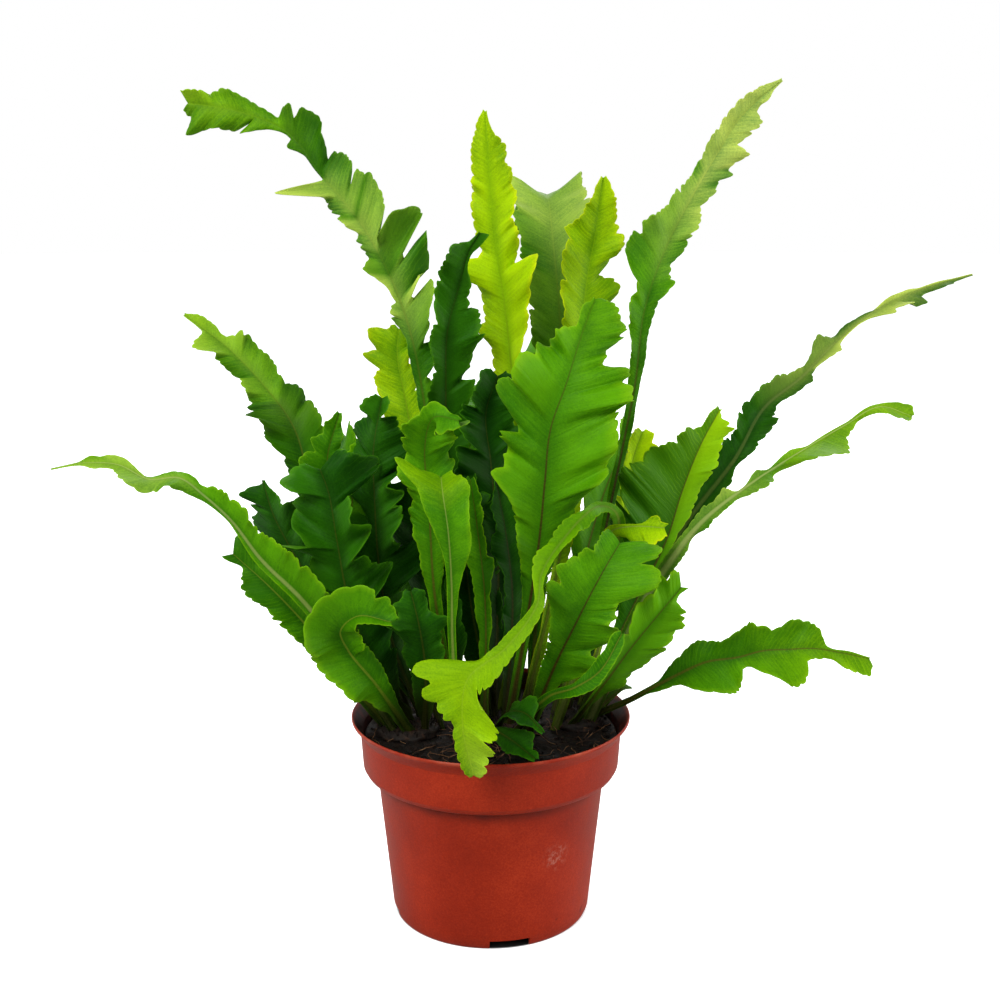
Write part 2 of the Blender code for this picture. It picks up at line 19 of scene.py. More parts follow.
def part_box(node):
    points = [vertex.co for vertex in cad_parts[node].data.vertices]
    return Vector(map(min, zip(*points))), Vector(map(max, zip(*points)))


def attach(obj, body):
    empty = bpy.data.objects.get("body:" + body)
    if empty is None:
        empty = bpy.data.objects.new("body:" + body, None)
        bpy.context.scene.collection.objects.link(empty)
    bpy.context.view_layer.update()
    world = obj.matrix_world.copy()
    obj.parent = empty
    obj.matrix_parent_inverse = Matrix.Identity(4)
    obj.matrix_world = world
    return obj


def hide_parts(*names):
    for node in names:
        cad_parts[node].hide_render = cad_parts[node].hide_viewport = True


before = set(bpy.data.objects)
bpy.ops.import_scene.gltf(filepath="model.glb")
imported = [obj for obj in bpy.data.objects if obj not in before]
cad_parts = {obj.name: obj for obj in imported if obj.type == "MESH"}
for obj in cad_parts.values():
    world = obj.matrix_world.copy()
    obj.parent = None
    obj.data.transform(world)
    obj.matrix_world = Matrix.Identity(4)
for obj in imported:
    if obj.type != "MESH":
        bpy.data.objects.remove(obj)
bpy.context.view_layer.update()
MM = 0.001

# %% [markdown]
# ## Camera
# The plant is seen from the front, slightly from above, with a lens a little longer than a phone's.
# The camera stands 57 cm in front of the pot's middle and looks down by 12 degrees, so the lip of the
# pot shows as a flat ellipse and the tallest frond still fits.

# %% Camera
EYE = (0.004, -0.5739, 0.3025)
LOOK_DOWN = 0.207
lens = bpy.data.cameras.new("lens")
lens.lens = 50.4
lens.sensor_width = 36.0
lens.clip_start = 0.01
camera = bpy.data.objects.new("camera", lens)
camera.location = EYE
camera.rotation_euler = (math.pi / 2 - LOOK_DOWN, 0.0, 0.0)
bpy.context.scene.collection.objects.link(camera)
bpy.context.scene.camera = camera
bpy.context.scene.view_settings.view_transform = "Standard"
print("camera stands at", [round(c, 3) for c in camera.location])

# %% [markdown]
# ## Helpers for materials
# Every finish is built from shader nodes. Adding a node, filling its sockets and linking it takes
# several lines in Blender, so one helper does all three: an input that is another node's socket is
# linked, and anything else is set as a value. Colours are given as display values from 0 to 255 and
# turned into the linear light that the renderer works with.

# %% Nodes and arithmetic
def paint(red, green, blue):
    """A colour as the screen shows it, turned into linear light."""
    linear = [c / 3294.6 if c <= 10 else ((c / 255 + 0.055) / 1.055) ** 2.4 for c in (red, green, blue)]
    return (*linear, 1.0)


def put(tree, kind, sockets=(), **settings):
    """Adds a shader node, with its settings, and fills or links its input sockets."""
    made = tree.nodes.new("ShaderNode" + kind)
    for name, value in settings.items():
        setattr(made, name, value)
    for place, value in dict(sockets).items():
        if isinstance(value, bpy.types.NodeSocket):
            tree.links.new(value, made.inputs[place])
        else:
            made.inputs[place].default_value = value
    return made


def here(tree):
    """The place on the piece, in metres."""
    return put(tree, "TexCoord").outputs["Object"]


def calc(tree, operation, first, second=0.0):
    """One step of arithmetic on two values."""
    return put(tree, "Math", {0: first, 1: second}, operation=operation).outputs[0]


def times(tree, first, second):
    """The product of two values."""
    return calc(tree, "MULTIPLY", first, second)


def plus(tree, first, second):
    """The sum of two values."""
    return calc(tree, "ADD", first, second)


def between(tree, value, low, high, start=0.0, end=1.0):
    """A value's place between low and high, eased, and then between start and end."""
    made = put(tree, "MapRange", {"Value": value, "From Min": low, "From Max": high,
                                  "To Min": start, "To Max": end}, interpolation_type="SMOOTHSTEP")
    return made.outputs[0]


print("a middle grey is", round(paint(128, 128, 128)[0], 3), "in linear light")

# %% Colours, grain and finishes
def blend(tree, share, first, second, way="MIX"):
    """Two colours mixed by a share."""
    made = put(tree, "Mix", {0: share, 6: first, 7: second}, data_type="RGBA", blend_type=way)
    return made.outputs[2]


def ramp(tree, value, *stops):
    """A colour picked along a ramp. Each stop is (place, colour)."""
    made = put(tree, "ValToRGB", {0: value})
    marks = made.color_ramp.elements
    while len(marks) < len(stops):
        marks.new(0.5)
    for mark, (place, colour) in zip(marks, stops):
        mark.position = place
        mark.color = colour
    return made.outputs[0]


def grain(tree, where, scale, detail=3.0, roughness=0.55):
    """Soft noise from 0 to 1 at a scale in waves per metre."""
    made = put(tree, "TexNoise", {"Vector": where, "Scale": scale, "Detail": detail, "Roughness": roughness})
    return made.outputs[0]


def finish_material(name, **constant):
    """A new material, its node tree and its shader, with constant values on the shader's sockets."""
    made = bpy.data.materials.new(name)
    made.use_nodes = True
    shader = made.node_tree.nodes["Principled BSDF"]
    for socket, value in constant.items():
        shader.inputs[socket.replace("_", " ")].default_value = value
    return made, made.node_tree, shader


def cover(tree, shader, colour, roughness=None, relief=None, strength=0.0, depth=0.0):
    """Links a colour to a shader and, where they are given, a roughness and a relief."""
    tree.links.new(colour, shader.inputs["Base Color"])
    if roughness is not None:
        tree.links.new(roughness, shader.inputs["Roughness"])
    if relief is not None:
        bump = put(tree, "Bump", {"Strength": strength, "Distance": depth, "Height": relief})
        tree.links.new(bump.outputs[0], shader.inputs["Normal"])


print("material helpers are ready")

# %% [markdown]
# ## Studio
# Such plants are shown on a bright white sweep. The floor is a wide pale sheet that ends in a white
# surrounding, so no horizon shows. One large soft lamp above the left of the camera makes the shapes,
# a weaker one fills from the right, one behind lights the edges of the fronds, and two low ones at
# the sides warm the flanks of the pot. The surrounding gives less light than it shows to the camera,
# and most of it from behind, so that the inside of the plant stays deep and dark while the pot's
# sides catch a soft gleam. The sheet shows bright to the camera and dull to the plant. A black patch
# is painted on it, as wide as the pot's foot, as painted shade under the pot that keeps the drain
# notches dark, and its glow is dimmed in a narrow ring round the patch as a painted contact shadow.

# %% The surrounding and the lamps
world = bpy.data.worlds.new("studio")
world.use_nodes = True
bpy.context.scene.world = world
sky = world.node_tree
sky.nodes.clear()
seen = put(sky, "LightPath").outputs["Is Camera Ray"]
white = put(sky, "Background", {"Color": (1.0, 1.0, 1.0, 1.0), "Strength": 1.0}).outputs[0]
heading = put(sky, "SeparateXYZ", {0: put(sky, "TexCoord").outputs["Generated"]}).outputs[1]
level = between(sky, heading, -0.35, 0.75, 0.11, 0.62)
glow = put(sky, "Background", {"Color": (1.0, 0.99, 0.97, 1.0), "Strength": level}).outputs[0]
both = put(sky, "MixShader", {0: seen, 1: glow, 2: white}).outputs[0]
put(sky, "OutputWorld", {"Surface": both})
AIM = Vector((0.0, 0.0, 0.16))


def soft_lamp(name, place, width, watts, colour=(1.0, 1.0, 1.0)):
    """A square lamp of that width that faces the plant."""
    light = bpy.data.lights.new(name, "AREA")
    light.size = width
    light.energy = watts
    light.color = colour
    lamp = bpy.data.objects.new(name, light)
    lamp.location = place
    lamp.rotation_euler = (AIM - Vector(place)).to_track_quat("-Z", "Y").to_euler()
    bpy.context.scene.collection.objects.link(lamp)


soft_lamp("key", (-0.7, -1.3, 1.4), 1.0, 31.0, (1.0, 0.985, 0.95))
soft_lamp("fill", (1.3, -1.0, 0.9), 0.9, 8.0)
for side, watts in ((-1.0, 5.5), (1.0, 10.0)):
    soft_lamp("edge", (side * 1.25, 0.05, 0.12), 0.5, watts, (1.0, 0.92, 0.85))
soft_lamp("rim", (0.3, 1.5, 1.3), 1.2, 16.0)
print("lamps:", len(bpy.data.lights))

# %% The sheet
def as_object(work, name):
    """Turns a bmesh into an object of that name."""
    mesh = bpy.data.meshes.new(name)
    work.to_mesh(mesh)
    work.free()
    made = bpy.data.objects.new(name, mesh)
    bpy.context.scene.collection.objects.link(made)
    return made


sheet = bmesh.new()
bmesh.ops.create_circle(sheet, cap_ends=True, radius=9.0, segments=48)
floor = as_object(sheet, "floor")
paper, tree, shader = finish_material("paper", Roughness=0.9)
spot = here(tree)
away = put(tree, "VectorMath", {0: spot}, operation="LENGTH").outputs["Value"]
# Painted shade: a black patch as wide as the pot's foot, where the shade under the pot falls.
outside_painted_shade = between(tree, away, 0.0412, 0.0428)
tint = ramp(tree, grain(tree, spot, 3.0), (0.3, (0.86, 0.88, 0.90, 1.0)), (0.7, (0.90, 0.90, 0.91, 1.0)))
cover(tree, shader, blend(tree, outside_painted_shade, (0.0, 0.0, 0.0, 1.0), tint))
bounce = put(tree, "BsdfDiffuse", {"Color": (0.42, 0.42, 0.41, 1.0)}).outputs[0]
# The glow is left out on the patch and dimmed in a narrow ring round it: a painted contact shadow.
strength = plus(tree, times(tree, outside_painted_shade, 0.62), between(tree, away, 0.043, 0.055, 0.0, 0.33))
lit = put(tree, "Emission", {"Color": (0.97, 0.99, 1.0, 1.0), "Strength": strength}).outputs[0]
bright = put(tree, "AddShader", {0: shader.outputs[0], 1: lit}).outputs[0]
shown = put(tree, "LightPath").outputs["Is Camera Ray"]
sheet_look = put(tree, "MixShader", {0: shown, 1: bounce, 2: bright}).outputs[0]
tree.links.new(sheet_look, tree.nodes["Material Output"].inputs["Surface"])
floor.data.materials.append(paper)
print("the sheet is", round(floor.dimensions.x, 1), "m wide")

# %% [markdown]
# ## How a frond is drawn
# A frond of this fern has a stiff midrib and a thin blade on each side, cut into rounded lobes that
# lean towards the tip. Its margin is set with small blunt teeth. A flat picture of a leaf on a plane
# would look right from the front only, and a sculpted one is hard to repeat, so each frond is a grid
# of quads that is laid along a curve: one line of its points follows the midrib, and the rows between
# run forwards and outwards, as the veins do. How far each row reaches is the outline.
# The tables below give the midribs and outlines in millimetres, frond by frond.

# %% [markdown]
# ## The fronds on the left
# The fronds on the left lean out over the rim. The slender one is nearly all midrib for half its
# length, the low one hangs below it, and the dark ones stand upright behind. Each entry of the table
# names a frond and its colour class, and gives:
# - rib: the points that its midrib passes through, in millimetres;
# - looks: which way its face looks, in degrees to the side and up, once or for each of those points;
# - left and right: the outline, as (percent of the midrib, millimetres out), where the margin turns;
# - halves: for a frond that is mostly hidden, half widths from which lobes are grown instead;
# - stalk: how brown the stalk is, from 0 to 1, and stout: how much thicker the rib is above it;
# - ruffle and teeth: how wavy and how toothed it is, where 1 is usual, and cuts: how deep its slits;
# - tones: how much lighter or darker its left and its right half are, partly painted light and shade;
# - pale, yellow and deep: (percent of the midrib, share) for tints over the class's green; the pale
#   one is partly a painted sheen, and the deep one is painted shade.

# %% The fronds on the left
fronds = {}


def draw(name, kind, rib, looks, stalk=0.6, halves=None, **shape):
    """Puts a frond into the table. Half widths that both sides share are given once."""
    if halves:
        shape.update(left_halves=halves, right_halves=halves)
    fronds[name] = dict(shape, kind=kind, rib=rib, looks=looks, stalk=stalk)


draw("frond_upper_left", "mid", stalk=0.5, ruffle=2.0, cuts=1.2, tones=(-0.1, -0.05),
     rib=[(-13, 8, 86), (-22, 17, 150), (-27, 24, 209), (-36, 27, 256), (-52, 30, 291), (-72, 34, 316),
          (-86, 38, 333), (-108, 40, 342), (-128, 40, 345)], looks=[(-22, 10)],
     left=[(20, 2), (40, 3), (50, 4), (52, 3), (55, 8.5), (55.6, 3), (56.5, 8), (57.2, 2), (60, 2.5),
           (63, 8.5), (63.6, 4), (64.7, 8.5), (65.4, 5), (66, 8), (68.5, 3), (69.5, 8), (70, 4),
           (71.5, 9.5), (73, 8.5), (75.2, 4), (75.6, 19), (76.4, 21), (76.8, 1.2), (82, 1.5), (83.3, 7.5),
           (84, 1.5), (86, 1.2), (88, 3.5), (90, 10.5), (91, 9), (94, 10.5), (95.5, 12), (97, 17),
           (97.6, 7), (99, 5.5), (100, 2.5)],
     right=[(20, 2), (36, 4), (44, 6), (50, 10), (54, 20), (56, 19), (58, 12), (60, 21.5), (62, 26),
            (64, 24.5), (65, 17), (68, 17), (69, 16.5), (70.3, 19.5), (71.5, 15.5), (74, 15), (78, 10.5),
            (80, 12.5), (82, 14.5), (84, 13), (86, 10.5), (87, 2.5), (90, 5.5), (94, 9), (96, 6.5),
            (100, 4.5)],
     pale=[(50, 0), (56, 0.35), (61, 0.35), (62, 0.05), (65, 0.1), (66, 0.45), (70, 0.45), (71, 0.05),
           (72, 0.4), (77, 0.35), (78, 0), (100, 0.05)], yellow=[(80, 0), (92, 0.25), (100, 0.4)],
     deep=[(0, 0.6), (50, 0.5), (56, 0.1), (61, 0.1), (62, 0.5), (65, 0.5), (66, 0.05), (70, 0.05),
           (71, 0.55), (72, 0.05), (77, 0.1), (78.5, 0.6), (85.5, 0.6), (87, 0)])
draw("frond_left_high", "mid", stalk=0.4, ruffle=1.5, cuts=0.35, tones=(-0.2, 0.1),
     rib=[(-44, 10, 86), (-62, 28, 130), (-80, 44, 172), (-89, 52, 204), (-104, 58, 224), (-120, 62, 240),
          (-139, 64, 254)], looks=[(10, 25)],
     left=[(20, 3), (36, 4), (46, 5.5), (50, 7), (56, 10.5), (58.5, 17), (60, 18), (61.7, 15.5), (66, 20),
           (68.3, 19), (69, 12), (72.3, 14.5), (72.9, 10.5), (76, 10.5), (79, 7), (84.3, 10), (86, 9),
           (88, 15), (90, 13), (93, 5), (94, 1), (100, 0.5)],
     right=[(20, 3), (40, 4), (50, 6), (60, 13.5), (65, 15), (68.3, 16), (72, 9), (76, 13.5), (80, 11.5),
            (84, 12.5), (88, 5.5), (90, 3), (92, 5.5), (96, 4.5), (98, 3), (100, 0.8)],
     pale=[(60, 0), (75, 0.1), (88, 0.15), (100, 0.1)], yellow=[(60, 0), (80, 0.2), (100, 0.4)],
     deep=[(0, 0.9), (62, 0.95), (71, 0.85), (72.5, 0)])
draw("frond_left_slender", "mid", stalk=0.15, stout=1.5, tones=(-0.15, 0.0),
     rib=[(-43, -9, 86), (-61, -28, 126), (-75, -36, 149), (-90, -41, 167), (-100, -45, 183),
          (-110, -48, 194), (-118, -51, 201), (-129, -53, 201), (-140, -55, 207), (-152, -57, 208),
          (-164, -58, 206)],
     looks=[(0, 10), (0, 15), (0, 20), (0, 25), (0, 35), (0, 45), (0, 55), (0, 60), (0, 50), (0, 60),
            (0, 60)],
     left=[(12, 2), (30, 3), (50, 3), (62, 1.2), (68, 2), (72, 5), (74, 9.5), (78, 7), (82, 11),
           (84, 8.5), (87, 3), (90, 5.5), (92.3, 3), (94, 1), (100, 0.5)],
     right=[(10, 2.5), (20, 7), (28, 10), (36, 12.5), (42, 13), (48, 11.5), (54, 8), (58, 6), (60.5, 9),
            (61.3, 7), (64, 7.5), (68, 5), (69.3, 2.5), (72, 4.5), (76, 4), (82, 1.5), (86, 4), (90, 3),
            (91, 4), (94, 1.3), (100, 0.5)],
     pale=[(68, 0), (78, 0.35), (88, 0.25), (100, 0.1)], yellow=[(70, 0), (100, 0.4)])
draw("frond_left_low", "mid", stalk=0.3, tones=(-0.5, -0.3),
     rib=[(-47, -2, 86), (-62, -9, 108), (-77, -12, 131), (-92, -12, 148), (-107, -9, 161)],
     looks=[(0, 15)],
     left=[(14, 3), (30, 5.5), (38, 5.6), (40, 5), (44, 6.5), (50, 7.7), (58, 9.2), (62, 10.2), (64, 10),
           (65.5, 8), (72, 9.8), (76, 11.3), (80, 10.7), (81, 9.8), (82, 10.2), (84, 8.5), (88, 5),
           (90, 3.2), (92, 1.5), (94, 2), (96, 4), (98, 4.7), (100, 4.5)],
     right=[(14, 3), (30, 6), (44, 9), (56, 11), (64, 13), (68, 10), (76, 15), (80, 12), (84, 14),
            (88, 9), (90, 9), (94, 13), (98, 10), (100, 5)])
draw("frond_left_jagged", "dark", ruffle=1.7, cuts=1.0,
     rib=[(-46, 6, 86), (-64, 6, 122), (-80, 3, 152), (-91, 1, 175), (-95, 0, 190)], looks=[(-28, 10)],
     left=[(20, 4), (30, 7), (40, 10), (50, 12), (58, 14), (61, 10), (66, 16), (70, 15), (72, 10),
           (76, 17), (80, 15), (82.5, 8), (84, 13), (86, 12), (88, 10.4), (90, 11.2), (92, 11), (94, 8),
           (96, 4), (98, 1.2), (100, 0.5)],
     right=[(20, 4), (30, 8), (40, 12), (48, 15), (51, 11), (58, 16), (62, 17), (65, 11), (70, 17),
            (74, 18), (76, 13), (80, 19), (82, 17), (84, 15), (85, 8), (87, 8), (88, 8), (90, 6.5),
            (91, 4), (93, 5.2), (95, 2), (96, 2.5), (98, 1), (100, 0.5)])
draw("frond_left_folded", "mid", stalk=0.28, ruffle=1.4, tones=(-0.3, -0.2),
     rib=[(-36, -11, 86), (-47, -30, 112), (-57, -38, 129), (-59, -43, 138), (-51, -49, 146),
          (-38, -54, 145)], looks=[(0, 5), (0, 5), (0, 10), (0, 20), (0, 40), (0, 50)],
     left=[(14, 3), (25, 7), (40, 12), (56, 16), (64, 15), (70, 16), (80, 12), (90, 9), (100, 3)],
     right=[(14, 3), (30, 6), (50, 9), (62, 10), (75, 8), (88, 6), (100, 2)],
     deep=[(0, 0.6), (30, 0.15), (62, 0.1), (66, 0.4), (100, 0.35)])
draw("frond_left_second", "mid", tones=(-0.3, -0.2),
     rib=[(-30, 9, 86), (-54, 16, 125), (-66, 13, 170), (-69, 9, 197), (-63, 5, 218)], looks=[(-10, 5)],
     left_halves=[1.8, 5, 9, 9, 2], right_halves=[1.8, 5, 9, 8, 2])
draw("frond_left_inner", "mid",
     rib=[(-40, 4, 86), (-55, 5, 130), (-59, 5, 156), (-58, 5, 185), (-55, 5, 204)], looks=[(0, 5)],
     halves=[1.7, 6, 9, 10, 4])
draw("frond_dark_upright", "dark", ruffle=2.2, cuts=1.0, tones=(0.1, 0.15),
     rib=[(-30, 3, 86), (-42, 2, 120), (-47, -2, 157), (-48, -4, 183), (-48, -6, 204), (-44, -8, 226)],
     looks=[(-25, 5)],
     left=[(10, 3), (22, 8), (34, 12), (46, 14), (50, 11), (60, 16), (66, 15), (70, 10), (80, 14),
           (86, 12), (89, 8), (94, 8), (100, 2)],
     right=[(10, 3), (20, 9), (30, 14), (42, 19), (48, 18), (52, 14), (62, 20), (68, 18), (71, 13),
            (80, 16), (85, 13), (88, 9), (94, 9), (100, 2)])
draw("frond_dark_broad", "dark", ruffle=2.3, cuts=1.0,
     rib=[(-36, -1, 86), (-50, -14, 116), (-58, -20, 144), (-62, -22, 170), (-65, -22, 190),
          (-68, -22, 199)], looks=[(-20, 5)],
     left=[(8, 3), (20, 8), (36, 14), (52, 18), (58, 17), (62, 13), (74, 20), (80, 19), (84, 14),
           (92, 16), (97, 13), (100, 6)],
     right=[(8, 3), (20, 9), (36, 16), (48, 21), (54, 20), (58, 15), (70, 22), (78, 20), (82, 15),
            (90, 18), (96, 14), (100, 7)])
draw("frond_dark_round", "dark",
     rib=[(-28, -8, 86), (-27, -22, 118), (-29, -27, 136), (-32, -28, 150)], looks=[(0, 10)],
     halves=[1.8, 8, 11, 4])
print("fronds drawn so far:", len(fronds))

# %% [markdown]
# ## The fronds in the middle
# The middle of the plant stands tall: two yellow-green young fronds, a broad one in front of them,
# and dark inner ones that only show as shadowed strips. The same table goes on.

# %% The fronds in the middle
draw("frond_tall_yellow", "young", stalk=0.35, cuts=0.3, tones=(0.25, 0.25),
     rib=[(6, 14, 86), (12, 19, 133), (13, 24, 177), (12, 26, 208), (9, 26, 235), (6, 25, 262),
          (3, 24, 282), (1, 22, 300), (-1, 18, 322), (-2, 14, 340)], looks=[(-20, 5)],
     left=[(20, 3), (36, 4), (46, 5), (54, 8), (61, 9.5), (62.4, 16), (63, 11), (68, 12.5), (70, 16),
           (72, 16.5), (74, 14.5), (75, 7.5), (80, 9.5), (84.5, 10.5), (85, 9), (86.5, 10), (87, 8),
           (92, 8), (96, 5.5), (98, 3.5), (100, 0.8)],
     right=[(20, 3), (40, 4), (60, 7), (64.5, 13.5), (65.2, 12.5), (68, 15), (70, 20), (72, 21.5),
            (73.3, 5), (76, 12), (78, 15), (78.8, 11.5), (80.5, 12.5), (81, 11), (84.2, 14.5), (85, 10),
            (88.3, 12), (89, 9), (91.5, 9), (94, 6.5), (96, 3), (98, 1.5), (100, 0.6)])
draw("frond_serrated", "young", stalk=0.45, cuts=0.5, tones=(-0.15, -0.05),
     rib=[(15, 14, 86), (30, 26, 150), (37, 33, 205), (39, 34, 245), (41, 33, 270), (45, 30, 295),
          (47, 26, 314)], looks=[(25, 5)],
     left=[(20, 3), (44, 6), (58, 9), (68, 12), (74, 14.5), (80, 17), (82, 19), (83, 17), (86, 16.5),
           (87, 13), (90, 11), (91.3, 7), (92.3, 10), (92.9, 5.5), (93.8, 8), (95.3, 5), (97, 4.5),
           (99, 2.5), (100, 0.8)],
     right=[(20, 3), (44, 6), (58, 8), (70, 11), (76.3, 17.5), (77, 14.5), (78.4, 15), (79, 7.5),
            (82.3, 11.5), (83.5, 10.5), (86, 13), (88.6, 12), (89.2, 9), (92.5, 8.5), (93, 7), (94.5, 7),
            (96, 5), (99.4, 2.5), (100, 0.8)])
draw("frond_back_arching", "mid",
     rib=[(10, 19, 86), (24, 42, 170), (31, 56, 245), (28, 64, 285), (26, 80, 306), (26, 110, 303),
          (27, 140, 275)], looks=[(0, 10), (0, 10), (0, 10), (0, 15), (0, 50), (0, 100), (0, 125)],
     left=[(14, 3), (30, 8), (45, 13), (55, 17), (62, 19), (66, 17), (70, 21), (78, 21), (84, 17),
           (88, 19), (94, 13), (100, 1)],
     right=[(14, 3), (30, 8), (45, 13), (55, 16), (58, 14), (64, 19), (70, 22), (76, 19), (80, 21),
            (86, 17), (90, 18), (95, 11), (100, 1)],
     pale=[(45, 0), (62, 0.2), (72, 0.55), (80, 0.25), (100, 0.1)],
     deep=[(0, 0.8), (56, 0.5), (66, 0.2), (72, 0)])
draw("frond_centre_broad", "mid", stalk=0.8, cuts=0.3, tones=(-0.1, -0.1),
     rib=[(8, -4, 86), (15, -13, 132), (20, -20, 170), (22, -24, 195), (24, -26, 216), (30, -26, 234),
          (36, -20, 252), (42, -10, 266)], looks=[(0, 5)],
     left=[(20, 2.5), (30, 4), (38, 8), (44, 12), (50, 15), (52, 20), (53.7, 29), (55.5, 19), (58.5, 22),
           (59.8, 15), (61.5, 26), (62.5, 27), (64.5, 10), (66, 17.5), (68, 30.5), (70, 27.5),
           (71.3, 25.5), (74, 27), (76, 26), (78, 17), (80.5, 21), (82.5, 9.5), (84.5, 16), (86, 11),
           (88, 9), (90, 5), (92, 3), (94, 5), (96, 4.5), (98, 2), (100, 0.8)],
     right=[(20, 2.5), (30, 4), (38, 9), (44, 13), (50, 17), (53.5, 31), (55, 28), (60, 32.5), (64.5, 32),
            (65.5, 29), (67, 37), (68, 37), (70, 34), (74, 30), (78, 27.5), (80, 25), (81.3, 11),
            (84, 16.5), (84.8, 9), (86, 17), (88, 21), (90, 20.5), (92, 16), (94, 13), (98, 8), (100, 2)],
     yellow=[(80, 0), (100, 0.1)])
draw("frond_dark_lobed", "dark", stalk=0.9, tones=(0.05, 0.1),
     rib=[(-5, 9, 86), (-15, 16, 148), (-19, 18, 203), (-19, 15, 229), (-18, 10, 251), (-13, 6, 270),
          (-9, 0, 284), (-4, -4, 292)], looks=[(25, 5)],
     left=[(20, 3), (40, 4), (56, 9), (59, 7), (64, 11), (67, 8), (69.5, 6), (71, 7), (74, 10.2),
           (78, 10.8), (80, 9), (82, 10.2), (84, 11.3), (86, 12.3), (88, 11.5), (90, 12.2), (92, 13),
           (94, 10), (95.4, 6), (96, 1.5), (100, 0.8)],
     right=[(20, 3), (40, 4), (52, 10), (55, 14), (58, 13), (59.5, 9), (64, 14), (67, 11), (70, 14),
            (74, 15.3), (76, 14.8), (78, 14), (80, 12.5), (82, 8.3), (84, 5.2), (88, 4.4), (90, 2.7),
            (92, 1.7), (95, 1.8), (97, 3), (100, 3.2)])
draw("frond_yellow_lobes", "young", stalk=0.4, cuts=0.9, tones=(-0.25, -0.15),
     rib=[(-10, 15, 86), (-28, 40, 143), (-34, 50, 193), (-39, 54, 219), (-42, 54, 237), (-41, 52, 249)],
     looks=[(-25, 5)], left_halves=[1.6, 3, 6, 11, 12, 4], right_halves=[1.6, 3, 6, 8, 8, 5])
draw("frond_inner_arching", "mid",
     rib=[(-14, -1, 86), (-23, -11, 142), (-25, -16, 185), (-26, -21, 209), (-22, -28, 221),
          (-12, -36, 221)], looks=[(0, 5), (0, 5), (0, 5), (0, 10), (0, 25), (0, 30)],
     left_halves=[1.6, 3, 9, 9, 6, 2], right_halves=[1.6, 3, 10, 13, 13, 4])
draw("frond_trumpet", "mid", stalk=0.2, cuts=0, teeth=0.4, tones=(-0.25, -0.15),
     rib=[(-9, -10, 86), (-14, -31, 112), (-15, -38, 133), (-15, -44, 159), (-16, -48, 180),
          (-18, -46, 194), (-19, -38, 199)],
     looks=[(0, 5), (0, 5), (0, 0), (0, 0), (0, 5), (0, 30), (0, 60)],
     left=[(20, 1.8), (50, 2.2), (66, 2.3), (70, 2.8), (74, 4), (78, 6), (82, 8.3), (86, 10), (90, 11.2),
           (92, 12.5), (93.5, 23), (95, 22), (96.2, 12), (98.5, 10), (100, 6)],
     right=[(20, 1.8), (50, 1.8), (60, 3.3), (64, 5), (68, 7.5), (71, 9.5), (74, 10.7), (80, 10.5),
            (84, 11.3), (88, 13.5), (90, 11.8), (92, 10), (96, 7), (100, 5)],
     yellow=[(86, 0), (93, 0.5), (100, 0.3)])
draw("frond_dark_inner", "dark", ruffle=1.7, cuts=1.0, tones=(-0.4, -0.3),
     rib=[(1, 4, 86), (3, 13, 154), (0, 14, 195), (-2, 13, 217), (3, 9, 233)], looks=[(30, 5)],
     left=[(6, 3), (18, 8), (36, 14), (50, 18), (54, 13), (68, 19), (78, 17), (82, 12), (92, 13), (98, 8),
           (100, 3)],
     right=[(6, 3), (18, 8), (36, 13), (46, 16), (50, 12), (64, 18), (74, 17), (78, 12), (90, 13),
            (97, 8), (100, 3)])
draw("frond_inner_narrow_left", "mid", tones=(-0.2, -0.3),
     rib=[(-2, -4, 86), (-2, -9, 142), (-5, -11, 171), (-8, -12, 193)], looks=[(-45, 5)],
     halves=[1.6, 4, 6, 3])
draw("frond_inner_narrow_right", "dark", stalk=0.9, tones=(-0.4, -0.3),
     rib=[(6, 3, 86), (9, 0, 140), (6, -1, 170), (2, -2, 192)], looks=[(45, 5)], halves=[1.6, 5, 6, 3])
draw("frond_inner_dark_left", "dark", ruffle=1.7, cuts=1.0, tones=(-0.4, -0.3),
     rib=[(-8, 2, 86), (-26, 4, 139), (-30, 4, 165), (-34, 2, 187)], looks=[(-35, 5)],
     left=[(6, 3), (20, 9), (40, 14), (56, 17), (60, 13), (74, 18), (82, 16), (85, 11), (94, 11),
           (100, 2)],
     right=[(6, 3), (20, 10), (40, 16), (52, 18), (56, 13), (70, 19), (80, 17), (84, 12), (94, 11),
            (100, 2)])
draw("frond_inner_dark_middle", "dark", tones=(-0.4, -0.3),
     rib=[(0, 10, 86), (-9, 8, 136), (-12, 7, 166), (-15, 6, 191)], looks=[(30, 5)],
     left=[(6, 3), (20, 9), (38, 14), (50, 16), (54, 12), (70, 17), (80, 15), (84, 10), (94, 10),
           (100, 2)],
     right=[(6, 3), (20, 9), (40, 14), (56, 16), (60, 11), (74, 17), (82, 14), (86, 9), (94, 9),
            (100, 2)])
print("fronds drawn so far:", len(fronds))

# %% [markdown]
# ## The fronds on the right
# On the right, the long fronds arch out and down, so their midribs are drawn with more points, and
# the upper right one is folded, so that its left margin is smooth and its right one is toothed.

